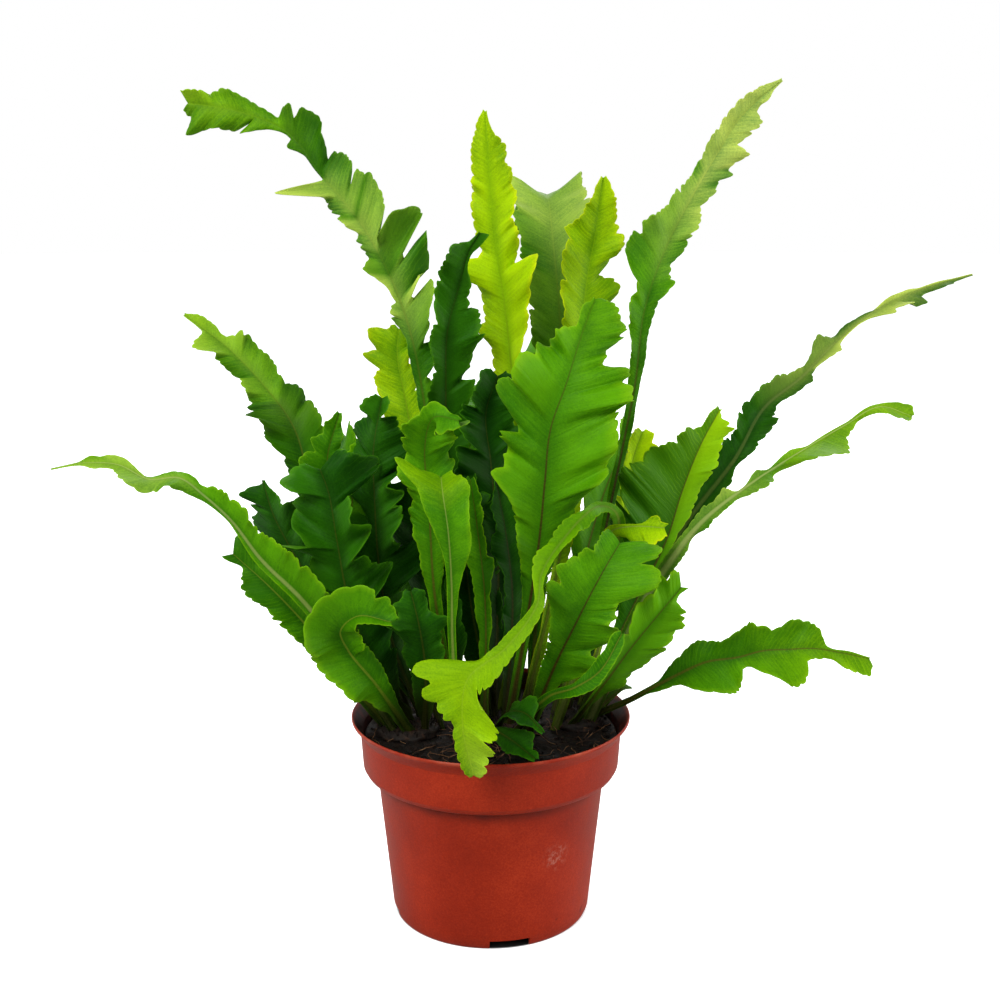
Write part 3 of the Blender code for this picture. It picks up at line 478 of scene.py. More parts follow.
# %% The fronds on the right
draw("frond_upper_right", "mid", stalk=0.75, tones=(-0.1, -0.25),
     rib=[(34, 14, 86), (44, 22, 130), (51, 26, 168), (57, 27, 199), (62, 25, 229), (65, 23, 259),
          (74, 28, 285), (85, 32, 306), (95, 35, 323), (106, 36, 340), (122, 36, 354)], looks=[(22, 5)],
     left=[(20, 2.5), (45, 2.5), (52, 4), (56, 5), (60.5, 10), (61.2, 5.5), (63, 13), (65, 16.5),
           (68, 17.5), (70, 16), (72, 11.5), (74, 9), (76, 10.5), (78, 7.5), (81, 4.5), (84, 6.5),
           (86, 8.5), (88, 6.5), (90, 7), (92, 7), (94, 6), (96, 4.5), (98, 2.5), (100, 0.6)],
     right=[(20, 2.5), (50, 3), (58, 4.5), (62, 6), (64.5, 11), (65.3, 7), (66, 8), (67, 6), (70.5, 10),
            (71, 7.5), (74, 9), (76, 7.5), (76.8, 5), (80.3, 9.5), (80.8, 7), (82.7, 14), (83.3, 8),
            (86.3, 12.5), (86.9, 5), (90, 9), (92.2, 8.5), (93, 5), (94.8, 2.5), (96, 3), (98, 1),
            (100, 0.5)],
     pale=[(64, 0), (74, 0.35), (82, 0.8), (100, 0.9)])
draw("frond_right_long", "dark", stalk=0.2, stout=1.6, ruffle=1.6,
     rib=[(45, 17, 86), (66, 26, 131), (88, 34, 166), (109, 42, 192), (122, 47, 214), (139, 52, 227),
          (157, 58, 244), (175, 62, 257), (196, 66, 266), (218, 68, 272)],
     looks=[(0, 10), (0, 10), (0, 15), (0, 20), (0, 25), (0, 40), (0, 50), (0, 50), (0, 50), (0, 50)],
     left=[(14, 4), (30, 6), (40, 6), (44, 9), (46, 11), (48, 9), (50, 7), (52, 10), (54, 10.5), (55, 8),
           (57.5, 9), (60, 8), (62, 6), (66, 3), (68, 5), (70.3, 10.5), (72.3, 6.5), (73, 3.5), (74.5, 4),
           (77, 4), (80, 2.5), (82, 1), (84, 2), (88, 3), (90, 1.2), (96, 0.8), (100, 0.4)],
     right=[(14, 3), (30, 5), (40, 5), (42, 6), (44, 3.5), (46, 2.5), (50, 8), (52, 10), (54.3, 11),
            (55.2, 7), (58, 3.5), (60, 4.5), (64, 5), (65, 7.5), (65.6, 2.5), (68, 2), (71.6, 7.5),
            (72.3, 3.5), (74, 2.5), (78, 1.5), (81, 1.5), (82.8, 11), (83.3, 5), (84.8, 14.5), (85.4, 7),
            (87.8, 12.5), (88.7, 5), (91, 1.5), (94.5, 5.5), (95.4, 4.5), (96, 1.2), (100, 0.4)],
     pale=[(55, 0), (66, 0.25), (80, 0.5), (100, 0.5)])
draw("frond_right_slender", "mid", stalk=0.1, stout=2.2, ruffle=0.5, cuts=0, teeth=1.8,
     rib=[(44, 3, 86), (63, -9, 138), (74, -15, 159), (86, -26, 179), (104, -36, 197), (121, -44, 211),
          (134, -50, 221), (146, -55, 229), (157, -58, 226)],
     looks=[(0, 10), (0, 20), (0, 30), (0, 45), (0, 55), (0, 60), (0, 45), (0, 50), (0, 60)],
     left=[(14, 3), (30, 3.5), (48, 3.5), (54, 5.5), (55, 3), (56.5, 5), (57, 2.5), (58.5, 6), (61, 1.5),
           (64, 1.5), (66, 4.5), (69, 1.5), (74, 3.5), (78, 1.2), (88, 1), (92, 2), (94, 2), (98, 5),
           (99, 4), (100, 0.6)],
     right=[(14, 3), (30, 3.5), (44, 4), (47, 1.5), (49, 1.5), (52.5, 6), (53, 2.5), (56, 4.5), (57.5, 3),
            (59, 5), (59.6, 1.8), (60.5, 1.5), (64, 7), (68, 11), (69.2, 2), (70, 1.2), (74, 1.2),
            (75, 11), (76.5, 19), (78.2, 24), (79, 21), (80.2, 25), (81.2, 16), (82.4, 17), (83.4, 9),
            (85.3, 5), (87, 5), (87.7, 1.5), (90, 1.3), (94, 4.5), (97.3, 9.5), (98.5, 6.5), (99, 1),
            (100, 0.6)],
     pale=[(20, 0.1), (50, 0.25), (64, 0.3), (72, 0.05), (100, 0.1)],
     yellow=[(70, 0), (78, 0.4), (100, 0.5)])
draw("frond_right_broad", "mid", stalk=0.7, ruffle=0.6, cuts=0.4, tones=(-0.95, 0.45),
     rib=[(41, 10, 86), (63, 12, 135), (75, 8, 163), (81, 6, 185), (88, 6, 204), (96, 8, 219)],
     looks=[(20, 5)],
     left=[(20, 3), (30, 6), (36, 15), (41, 27), (46, 33), (52, 35), (60, 36), (64, 37), (66, 35),
           (67.5, 31), (70, 26), (74, 24), (76, 21), (77, 20), (78, 20.5), (79, 16.5), (80, 17.5),
           (83, 15.5), (84, 14), (86, 13), (86.9, 14), (88, 7.5), (92, 3), (94, 4.5), (96, 4.5), (98, 3),
           (100, 1.5)],
     right=[(20, 3), (30, 4), (44, 5), (52, 4), (60, 4.5), (62, 7.5), (66, 9), (74, 9), (76, 10),
            (80, 11), (84, 10), (89, 9), (91, 10), (92.5, 11), (94.5, 10.5), (95.2, 5), (96, 3),
            (96.8, 5.5), (97.5, 2), (98, 1.2), (100, 1.5)],
     yellow=[(50, 0), (80, 0.3), (100, 0.6)])
draw("frond_right_inner", "young", stalk=0.4,
     rib=[(40, 19, 86), (54, 38, 127), (61, 48, 172), (64, 50, 190), (68, 50, 203)], looks=[(40, 5)],
     halves=[1.6, 3, 8, 8, 4])
draw("frond_right_low", "mid", ruffle=1.3, cuts=0, tones=(-0.2, -0.2),
     rib=[(48, 6, 86), (58, 2, 92), (70, -6, 102), (80, -12, 110), (90, -18, 117), (102, -24, 121),
          (111, -28, 125), (122, -32, 127), (130, -34, 128), (140, -36, 127), (152, -38, 125)],
     looks=[(0, 20)],
     left=[(10, 1.2), (26, 1.5), (30, 5.5), (34, 7.5), (38, 10.5), (42.5, 11.5), (44, 8.5), (46.3, 9.5),
           (49, 8), (52, 10.5), (56, 15), (58, 16), (60, 15), (62, 12.5), (66, 10), (67, 8), (70, 15),
           (74, 13.5), (78, 11.5), (82, 6.5), (84, 2.5), (88, 0.8), (92, 1.7), (98, 0.8), (100, 0.6)],
     right=[(10, 1.5), (20, 1.5), (28, 4), (32, 5), (36, 10.5), (40, 16), (44, 19), (48, 17.5),
            (52, 13.5), (54, 11.5), (56.3, 4), (58, 5), (62, 12.5), (66, 19), (70, 18.5), (74, 15),
            (77.3, 5), (80, 5.5), (86, 3.5), (88, 4.5), (90, 8.5), (94, 8), (96.3, 9.5), (98, 7),
            (100, 2)],
     yellow=[(50, 0), (75, 0.2), (100, 0.45)])
draw("frond_right_upright", "mid", tones=(0.45, 0.45),
     rib=[(37, -1, 86), (49, -18, 110), (59, -22, 126), (68, -23, 138), (78, -21, 150)], looks=[(22, 5)],
     left=[(10, 2.5), (30, 2.5), (42, 4), (50, 7), (54, 10), (60, 12.5), (63, 11), (70, 14.5), (73, 12),
           (80, 14.5), (83, 12), (90, 13.5), (96, 11), (100, 6)],
     right=[(10, 3), (20, 6), (30, 9), (38, 10.5), (46, 12.5), (54, 15), (58, 15.7), (59, 14.5), (62, 15),
            (67, 14.2), (70, 14.6), (74, 14.7), (77, 13), (78, 10), (82, 11), (84, 10), (86, 9), (88, 5),
            (90, 3.5), (92, 3.2), (96, 2.3), (98, 2), (100, 3.5)])
print("fronds drawn so far:", len(fronds))

# %% [markdown]
# ## The fronds at the front
# At the front, one frond arches over the rim and hangs outside the pot. Its face turns through more
# than a quarter turn on the way, so each of its points has its own look. Three tiny fronds sprout
# from the soil.

# %% The fronds at the front
draw("frond_front_hanging", "mid", stalk=0.25, cuts=0.8, teeth=1.7, tones=(-0.05, -0.05),
     rib=[(30, 9, 86), (42, 15, 130), (54, 4, 163), (52, -9, 178), (42, -26, 184), (29, -41, 175),
          (20, -53, 164), (18, -61, 154), (6, -71, 140), (-8, -77, 130), (-10, -79, 113), (-6, -75, 91)],
     looks=[(0, 10), (0, 10), (0, 15), (0, 25), (0, 50), (0, 50), (0, 40), (0, 30), (0, 30), (0, 20),
            (0, 10), (0, 5)],
     left=[(10, 2), (30, 3), (42, 3.5), (47, 5), (52, 5.5), (55, 5), (57.5, 2.5), (62, 2.5), (66, 1.5),
           (68.5, 3.5), (76, 4.5), (78, 6), (80.5, 11.5), (81.5, 9), (84, 12), (88, 17), (90, 14.5),
           (93, 12.5), (96, 7.5), (99, 4.5), (100, 2)],
     right=[(10, 2), (30, 3), (50, 3), (54, 5.5), (58.5, 4.5), (60.5, 6), (65, 3), (68, 1.5), (71, 2.5),
            (74.3, 4), (79, 3.5), (81, 2.2), (82.3, 9), (83, 25), (84, 21), (85, 20), (85.8, 11.5),
            (88.8, 7.5), (89.8, 3.5), (91.5, 4.5), (95, 5), (98, 4.5), (100, 2)],
     pale=[(90, 0), (100, 0.2)], yellow=[(30, 0), (60, 0.2), (80, 0.55), (100, 0.75)],
     deep=[(0, 0.7), (45, 0.3), (80, 0.2), (90, 0)])
draw("frond_yellow_tip", "young", stalk=0.2,
     rib=[(30, 2, 86), (43, 3, 127), (47, -2, 156), (50, -11, 171), (59, -19, 175), (70, -26, 176)],
     looks=[(0, 10), (0, 10), (0, 15), (0, 25), (0, 25), (0, 25)],
     left=[(20, 2.5), (60, 3), (76, 3), (82, 1.5), (90, 1.2), (92.3, 2.5), (94.3, 9.5), (95, 3), (98, 3),
           (100, 2)],
     right=[(20, 2.5), (60, 3), (76, 4), (82, 5), (85, 10), (88, 14.5), (91, 15), (95, 9), (97, 8.5),
            (98.5, 6.5), (100, 3.5)])
draw("frond_front_broad", "mid", stalk=0.8,
     rib=[(17, -9, 86), (27, -30, 121), (34, -42, 141), (40, -48, 156), (46, -47, 167), (51, -40, 173)],
     looks=[(0, 5), (0, 5), (0, 5), (0, 10), (0, 25), (0, 45)],
     left=[(10, 3), (20, 5), (30, 6.5), (40, 7), (50, 10), (54, 12), (57, 14), (60, 18.5), (64, 20.5),
           (70, 22), (71, 20), (72, 21), (74, 20.5), (75, 17), (76, 18), (78, 16.5), (79, 14), (80, 14.5),
           (84, 13), (88, 10), (90, 8), (92, 10), (98, 10), (100, 8)],
     right=[(10, 3), (20, 4), (26, 6), (28, 8), (32, 15), (38, 17), (42, 18.5), (46, 19.5), (48, 17),
            (52, 19.5), (56, 19), (60, 19), (68, 14), (70, 12.5), (72, 14.5), (74, 21), (76, 25.5),
            (80, 26), (84, 23.5), (85, 21), (86, 21.5), (87, 19.5), (92, 19.5), (96, 16), (98, 14),
            (100, 9)])
draw("frond_front_low", "mid", stalk=0.4, tones=(-0.4, -0.35),
     rib=[(12, -13, 86), (24, -38, 109), (34, -52, 118), (43, -58, 127), (51, -56, 141)], looks=[(0, 35)],
     left_halves=[1.6, 2.5, 2.5, 4.5, 3.5], right_halves=[1.6, 2.5, 4, 5, 2.5])
draw("young_front_right", "dark", cuts=0,
     rib=[(3, -14, 86), (9, -34, 101), (15, -43, 103), (21, -49, 98)], looks=[(0, 60)],
     halves=[1.5, 6, 7, 1])
draw("young_front_low", "dark", cuts=0,
     rib=[(-5, -14, 86), (3, -31, 91), (11, -42, 90), (18, -50, 87)], looks=[(0, 60)],
     halves=[1.5, 4.5, 6.5, 2.5])
draw("young_right", "mid",
     rib=[(49, 12, 86), (54, 12, 91), (58, 13, 94), (62, 15, 94)], looks=[(0, 70)], halves=[1.3, 4, 4, 1])
print("fronds drawn so far:", len(fronds))

# %% [markdown]
# ## The fronds at the back
# The back is seen when the plant is turned round, so it gets fronds of its own, which arch backwards
# and fill the rosette.

# %% The fronds at the back
draw("frond_rear_left", "mid",
     rib=[(-24, 8, 86), (-44, 40, 140), (-62, 75, 175), (-80, 110, 180), (-95, 138, 165)],
     looks=[(-40, 20), (-50, 40), (-60, 50), (-60, 55), (-60, 55)], halves=[1.8, 8, 13, 11, 1])
draw("frond_rear_middle", "mid",
     rib=[(-4, 18, 86), (-7, 50, 150), (-12, 90, 200), (-18, 130, 215), (-22, 165, 195)],
     looks=[(0, 10), (25, 35), (50, 45), (60, 50), (60, 50)], halves=[1.8, 8, 13, 11, 1])
draw("frond_rear_right", "mid",
     rib=[(29, 17, 86), (42, 50, 140), (58, 85, 178), (72, 115, 185), (84, 140, 170)],
     looks=[(0, 10), (40, 40), (60, 50), (65, 50), (60, 50)], halves=[1.8, 8, 13, 11, 1])
draw("frond_rear_left_low", "dark",
     rib=[(-37, 13, 86), (-54, 38, 118), (-75, 70, 140), (-100, 100, 140), (-118, 120, 125)],
     looks=[(0, 45), (-40, 50), (-60, 50), (-60, 50), (-60, 50)], halves=[1.8, 8, 12, 11, 1])
draw("frond_rear_right_low", "dark",
     rib=[(35, 20, 86), (50, 50, 118), (66, 85, 138), (76, 115, 138), (84, 138, 122)],
     looks=[(0, 45), (40, 50), (60, 50), (60, 50), (60, 50)], halves=[1.8, 8, 12, 11, 1])
draw("frond_rear_low", "dark",
     rib=[(4, 20, 86), (5, 45, 120), (4, 85, 140), (2, 120, 138), (0, 145, 120)],
     looks=[(0, 45), (-40, 50), (-60, 45), (-60, 45), (-60, 45)], halves=[1.8, 8, 12, 11, 1])
draw("frond_rear_tall", "mid",
     rib=[(18, 17, 86), (22, 48, 150), (22, 80, 210), (18, 115, 232), (14, 150, 222)],
     looks=[(0, 10), (-30, 30), (-50, 40), (-60, 45), (-60, 45)], halves=[1.8, 6, 12, 11, 1])
print("fronds drawn so far:", len(fronds))

# %% [markdown]
# ## Along the midrib
# A midrib passes through its points on a smooth curve, a cubic between each pair. At each step the
# frond has three directions: ahead along the rib, out of its face, and across it. The stalk goes on a
# few millimetres below the first point, so that it stands in its crown.

# %% Along the midrib
ROW = 0.66 * MM
ROOTED = 11.0 * MM


def smooth(stations, values, at):
    """Values between stations: a cubic through every station."""
    values = np.asarray(values, float)
    gaps = np.diff(stations)
    slope = np.diff(values, axis=0) / gaps[:, None]
    ends = np.vstack([slope[:1], (slope[1:] + slope[:-1]) / 2, slope[-1:]])
    k = np.clip(np.searchsorted(stations, at, side="right") - 1, 0, len(gaps) - 1)
    u = ((at - stations[k]) / gaps[k])[:, None]
    h = gaps[k][:, None]
    rise = values[k + 1] - values[k]
    first = h * ends[k] - rise
    last = rise - h * ends[k + 1]
    return values[k] + u * rise + u * (1 - u) * ((1 - u) * first + u * last)


def unit(rows):
    """Each row as a vector of length one."""
    return rows / np.linalg.norm(rows, axis=1)[:, None]


def follow(design):
    """A midrib's steps: their distance from the base, the stations, points and directions."""
    rib = np.asarray(design["rib"], float) * MM
    stations = np.concatenate([[0.0], np.cumsum(np.linalg.norm(np.diff(rib, axis=0), axis=1))])
    at = np.linspace(-ROOTED, stations[-1], int((stations[-1] + ROOTED) / ROW))
    inside = at.clip(0.0)
    start = unit(rib[1:2] - rib[:1])
    middle = smooth(stations, rib, inside) + np.minimum(at, 0.0)[:, None] * start
    ahead = unit(np.gradient(middle, axis=0))
    looks = design["looks"] * (len(rib) if len(design["looks"]) == 1 else 1)
    turn, lift = np.radians(np.array(looks, float).T)
    look = np.column_stack([np.sin(turn) * np.cos(lift), -np.cos(turn) * np.cos(lift), np.sin(lift)])
    look = smooth(stations, look, inside)
    face = unit(look - np.sum(look * ahead, axis=1)[:, None] * ahead)
    return at, stations, middle, ahead, face, np.cross(ahead, face)


sample = follow(fronds["frond_upper_right"])
print("the upper right midrib is", round(sample[1][-1] / MM), "mm long, in", len(sample[0]), "steps")

# %% [markdown]
# ## The outline
# Where the table gives an outline, its points are joined by curves that bulge outwards, so that lobes
# are round and the notches between them sharp. Where it gives only half widths, lobes are grown: each
# swells towards its tip and falls quickly to a notch. Both are as seen from the front, so a frond
# whose face is turned aside is widened by that turn. Narrow slits part the lobes further, and small
# blunt teeth of uneven length run along the whole margin.

# %% The outline
def joined(points, percent):
    """The reach of a margin through (percent, millimetres) points, in metres."""
    places, reach = np.array(points, float).T
    k = np.clip(np.searchsorted(places, percent, side="right") - 1, 0, len(places) - 2)
    u = ((percent - places[k]) / (places[k + 1] - places[k])).clip(0.0, 1.0)
    swell = np.where(reach[k + 1] > reach[k], np.sin(u * np.pi / 2), 1 - np.cos(u * np.pi / 2))
    return (reach[k] + (reach[k + 1] - reach[k]) * (0.45 * u + 0.55 * swell)) * MM


def grown(halves, stations, luck):
    """Margin points for lobes along a frond whose half widths are given."""
    length = stations[-1] / MM
    points = [(0.0, halves[0])]
    place = luck.uniform(14.0, 20.0)
    while place < 97.0:
        step = luck.uniform(11.0, 20.0) * 100.0 / length * (0.6 if place > 80.0 else 1.0)
        top = min(place + step * luck.uniform(0.6, 0.75), 99.0)
        at_top = np.array([top * stations[-1] / 100.0])
        half = float(smooth(stations, np.array(halves)[:, None], at_top)[0, 0])
        depth = min(max((half - 3.0) / 6.0, 0.0), 1.0)
        points.append((place, half * (1.0 - depth * luck.uniform(0.1, 0.4))))
        points.append((place + 0.4 * (top - place), half * (1.0 + 0.18 * depth)))
        points.append((top, half * (1.0 + depth * luck.uniform(0.25, 0.5))))
        place += step
    return points + [(100.0, 0.6)]


def even(values, count):
    """A running mean over twice that many steps, which rounds off corners."""
    window = np.ones(2 * count + 1) / (2 * count + 1)
    return np.convolve(np.pad(values, count, mode="edge"), window, mode="valid")


young = fronds["young_right"]
young_points = grown(young["left_halves"], follow(young)[1], random.Random(1))
print("the smallest frond's lobes are grown from", len(young_points), "points")

# %% Slits, tilts and teeth
SLIT = 1.0 * MM
TOOTH = 0.27


def slits(at, reach, luck):
    """Narrow cuts between lobes: the share of the reach that is left at every step."""
    cut = np.zeros(len(at))
    place = luck.uniform(40.0, 60.0) * MM
    while place < at[-1]:
        cut = np.maximum(cut, luck.uniform(0.25, 0.6) * np.exp(-((at - place) / SLIT) ** 2))
        place += luck.uniform(13.0, 28.0) * MM
    return 1.0 - cut * ((reach - 5.0 * MM) / (5.0 * MM)).clip(0.0, 1.0)


def tilts(reach, luck):
    """A random tilt for each lobe, from one notch of the margin to the next."""
    notch = (reach[1:-1] < reach[:-2]) & (reach[1:-1] <= reach[2:])
    lobe = np.concatenate([[0], np.cumsum(notch), [np.sum(notch)]])
    tilt = np.array([luck.uniform(-1.0, 1.0) for number in range(int(lobe[-1]) + 1)])
    return even(tilt[lobe], 1)


def teeth(at, reach, luck):
    """Blunt teeth of uneven length, which fade where the margin is close to the rib."""
    ends = [at[0]]
    while ends[-1] <= at[-1]:
        ends.append(ends[-1] + luck.uniform(2.2, 5.0) * MM)
    ends = np.array(ends)
    tooth = np.searchsorted(ends, at, side="right") - 1
    pitch = np.diff(ends)[tooth]
    along = (at - ends[tooth]) / pitch
    hump = 1.0 - np.abs(2.0 * along - 1.0) ** 2.6
    return TOOTH * pitch * ((reach - 2.5 * MM) / (5.0 * MM)).clip(0.0, 1.0) * (hump - 0.7)


def reach_of(design, side, at, stations, luck):
    """How far the blade reaches out on one side: plain, with its slits, and with its teeth too."""
    points = design.get(side) or grown(design[side + "_halves"], stations, luck)
    seen_share = math.cos(math.radians(design["looks"][0][0]))
    plain = even(joined(points, 100.0 * at / stations[-1]), 3) / seen_share
    lobed = plain * (1.0 - design.get("cuts", 0.6) * (1.0 - slits(at, plain, luck)))
    return plain, lobed, lobed + design.get("teeth", 1.0) * teeth(at, plain, luck)


reaches = [reach for design in fronds.values() for place, reach in design.get("right", ())]
print("the widest drawn lobe reaches", max(reaches), "mm")

# %% [markdown]
# ## The blade
# The blade isn't flat. From the rib it rises a little to both sides and bends down again near the
# margin, the tips of the lobes stand proud of the notches, each lobe tilts by its own random amount,
# and slow waves run along it. The rib is a ridge below and a shallow groove above. All of this is a
# lift along the face of the frond.

# %% The blade
SWEEP = math.radians(35.0)
SHARES = np.array([[0.13, 0.3, 0.5, 0.7, 0.86, 0.95, 1.0]])
BLADE_THICK = np.array([[0.55, 0.42, 0.36, 0.32, 0.3, 0.27, 0.22]]) * MM
RIB_SHARES = np.array([[0.5, 1.0]])
RIB_THICK = np.array([[1.6, 0.9]])
RISE = 0.24
DROOP = 6.5
PROUD = 0.5
TILT = 0.27
WAVES = ((46.0, 0.1), (24.0, 0.12), (13.0, 0.07))


def rib_of(design, at, length):
    """The rib's half thickness: stout in the stalk, and above it where the table says so."""
    usual = np.interp(at / length, [-0.1, 0.0, 0.3, 0.7, 1.0], [1.6, 1.4, 0.8, 0.42, 0.2]) * MM
    return usual * np.interp(at / length, [0.1, 0.4, 0.9], [1.0, design.get("stout", 1.0), 1.0])


def half_blade(design, side, steps, luck):
    """The points of one side of a frond, its thickness, and what the materials need, per row."""
    at, stations, middle, ahead, face, across = steps
    sign = 1.0 if side == "right" else -1.0
    plain, lobed, reach = reach_of(design, side, at, stations, luck)
    rib = rib_of(design, at, stations[-1])[:, None]
    reach = np.maximum(reach[:, None], rib * 1.25)
    every = np.ones((len(at), 1))
    out = np.hstack([RIB_SHARES * rib, rib + (reach - rib) * SHARES])
    share = np.hstack([RIB_SHARES * rib * 0.0, SHARES * every])
    tilt = tilts(lobed, luck)
    wave = TILT * tilt
    for period, height in WAVES:
        stretch = luck.uniform(0.85, 1.15) * period * MM
        wave = wave + height * np.sin(2 * np.pi * at / stretch + luck.uniform(0, 6.3))
    lift = RISE * out - DROOP * out ** 2 + PROUD * (plain - even(plain, 14))[:, None] * share ** 2
    lift = lift + (design.get("ruffle", 1.0) * wave * plain)[:, None] * share ** 1.6
    points = (middle[:, None, :] + sign * out[..., None] * math.cos(SWEEP) * across[:, None, :]
              + out[..., None] * math.sin(SWEEP) * ahead[:, None, :] + lift[..., None] * face[:, None, :])
    thick = np.hstack([rib * RIB_THICK, BLADE_THICK * every])
    along = np.repeat(at[:, None], out.shape[1], axis=1)
    near = np.stack([out / rib, (reach - out) / MM, along / MM], axis=2)
    return points, thick, near, share, tilt[:, None] * share


half = half_blade(fronds["frond_upper_right"], "right", sample, random.Random(3))
print("one side of a frond has", half[0].shape[:2], "rows and points")

# %% [markdown]
# ## Leaf finishes
# A frond is leathery and softly glossy. Young fronds are yellow-green, grown ones a clear green and old
# ones deep green. Towards the margin the green turns yellower, a thin pale line runs along the edge,
# and fine veins run out from the rib at a slant. The rib is brown near the base of most fronds and
# fades to pale green. The underside is paler and duller.
#
# A pattern that follows the leaf can't be placed by where the leaf is, so the fronds carry three
# attributes with three values each: near has the distance from the rib in rib radii, from the margin
# in millimetres and along the rib in millimetres; growth has the share of the way to the margin, the
# brownness of the stalk and a lightness, which is partly random and partly painted light and shade;
# tint has the pale, yellow and deep shares, where the pale is partly a painted sheen and the deep is
# painted shade.

# %% The blade's green
LEAF = {
    "young": dict(heart=(120, 178, 3), blade=(146, 200, 2), edge=(172, 210, 6), under=(158, 196, 70)),
    "mid": dict(heart=(60, 130, 3), blade=(78, 152, 4), edge=(104, 172, 8), under=(112, 160, 58)),
    "dark": dict(heart=(24, 76, 3), blade=(36, 98, 4), edge=(56, 122, 8), under=(82, 128, 46)),
}


def blade_green(tree, kind, side, broad, growth, tint):
    """The green of a colour class, from the rib to the margin, with the frond's own tints over it."""
    heart, blade, edge, under = [paint(*LEAF[kind][part]) for part in ("heart", "blade", "edge", "under")]
    if side == "under":
        colour = blend(tree, between(tree, broad, 0.3, 0.7), under, edge)
    else:
        colour = ramp(tree, growth[0], (0.0, heart), (0.35, blade), (0.8, blade), (1.0, edge))
    colour = blend(tree, tint[1], colour, paint(*LEAF["young"]["blade"]))
    # The deep copy is the green in painted shade; the pale grey-green mixed over it is partly a painted
    # sheen.
    deep = blend(tree, 1.0, colour, (0.3, 0.42, 0.4, 1.0), "MULTIPLY")
    return blend(tree, tint[0], blend(tree, tint[2], colour, deep), paint(168, 204, 92))


def veins(tree, near, fine, broad):
    """Thin lines that run out from the rib, clear in some places and faint in others."""
    waver = plus(tree, fine, times(tree, broad, 5.0))
    beat = times(tree, plus(tree, near[2], times(tree, waver, 1.6)), 0.55)
    beat = calc(tree, "SUBTRACT", calc(tree, "FRACT", beat), 0.5)
    line = between(tree, calc(tree, "ABSOLUTE", beat), 0.34, 0.5)
    return times(tree, line, between(tree, broad, 0.35, 0.65, 0.15, 1.0))


def rib_paint(tree, near, growth, streak, light):
    """The rib's colour: brown below on most fronds, pale green above and on fresh stalks."""
    brown = times(tree, between(tree, near[2], 90.0, 230.0, 1.3, 0.3), growth[1])
    fresh = blend(tree, between(tree, near[2], 60.0, 170.0), paint(128, 164, 36), light)
    milky = between(tree, growth[1], 0.05, 0.3, 0.7, 0.0)
    fresh = blend(tree, milky, fresh, paint(190, 208, 128))
    bark = ramp(tree, streak, (0.3, paint(36, 20, 10)), (0.7, paint(84, 54, 22)))
    return blend(tree, brown, fresh, bark)


print("colour classes:", ", ".join(LEAF))

# %% Leaf finishes
def leaf_finish(kind, side):
    """The leaf material of a colour class, for its upper or its under side."""
    made, tree, shader = finish_material(f"{kind}_leaf_{side}", Specular_IOR_Level=0.07)
    place = here(tree)
    near, growth, tint = [
        put(tree, "SeparateXYZ", {0: put(tree, "Attribute", attribute_name=name).outputs["Vector"]}).outputs
        for name in ("near", "growth", "tint")]
    broad = grain(tree, place, 50.0)
    fine = grain(tree, place, 380.0)
    speckle = grain(tree, place, 1500.0, 2.0)
    rows = put(tree, "CombineXYZ", {0: times(tree, near[2], 1.1), 1: growth[0], 2: growth[2]}).outputs[0]
    streak = grain(tree, rows, 1.0, 4.0, 0.65)
    vein = veins(tree, near, fine, broad)
    green = blade_green(tree, kind, side, broad, growth, tint)
    # A darker and a lighter copy of the green, mixed by random mottling and by the lightness in growth, which
    # carries the painted light and shade of the tones and of tilted lobes.
    dark = blend(tree, 1.0, green, (0.4, 0.52, 0.6, 1.0), "MULTIPLY")
    light = blend(tree, 1.0, green, (1.6, 1.28, 1.2, 1.0), "MULTIPLY")
    shade = plus(tree, plus(tree, times(tree, broad, 0.8), times(tree, streak, 0.6)), growth[2])
    shade = plus(tree, shade, times(tree, speckle, 0.6))
    colour = blend(tree, between(tree, shade, 0.45, 1.5), dark, light)
    colour = blend(tree, times(tree, vein, 0.42), colour, light)
    colour = blend(tree, between(tree, near[1], 0.1, 0.5, 0.5, 0.0), colour, light)
    rib = between(tree, near[0], 0.6, 1.5, 0.45 if kind == "dark" else 1.0, 0.0)
    rib = times(tree, rib, between(tree, near[2], 120.0, 260.0, 0.85, 0.5))
    colour = blend(tree, rib, colour, rib_paint(tree, near, growth, streak, light))
    colour = blend(tree, between(tree, near[2], 2.0, 34.0, 0.8, 0.0), colour, paint(34, 30, 10))
    sheen = plus(tree, times(tree, fine, 0.4), times(tree, streak, 0.6))
    height = plus(tree, times(tree, streak, 0.8), times(tree, fine, 0.5))
    height = plus(tree, height, times(tree, vein, -0.15 if side == "upper" else 0.5))
    cover(tree, shader, colour, between(tree, sheen, 0.2, 0.8, 0.42, 0.62), height, 0.6, 0.0005)
    return made


leaf_finishes = {kind: [leaf_finish(kind, "upper"), leaf_finish(kind, "under")] for kind in LEAF}
print("leaf finishes:", ", ".join(m.name for pair in leaf_finishes.values() for m in pair))

# %% [markdown]
# ## Growing the fronds
# Each frond starts as a flat grid from bmesh. Its points are moved onto the rows worked out above, and
# each point keeps the three attributes for the materials. A deform layer holds the thickness, which
# the Solidify modifier reads: thick along the rib and thin in the blade. Its second material is the
# underside. The fronds are shaded smooth.

# %% The rows of a whole frond
STOUT = 3.6 * MM
GROOVE = 0.15
SPINE_THICK = 1.8
FAR = 9.0
# The deep tint is painted shade, darkest at the base of every frond; the pale tint is partly a painted sheen.
TINTS = {"pale": [(0, 0), (100, 0)], "yellow": [(0, 0), (100, 0)], "deep": [(0, 0.7), (45, 0.3), (72, 0)]}


def whole(left, spine, right):
    """The rows of a frond from its left margin over the rib to its right margin."""
    return np.concatenate([left[:, ::-1], spine, right], axis=1)


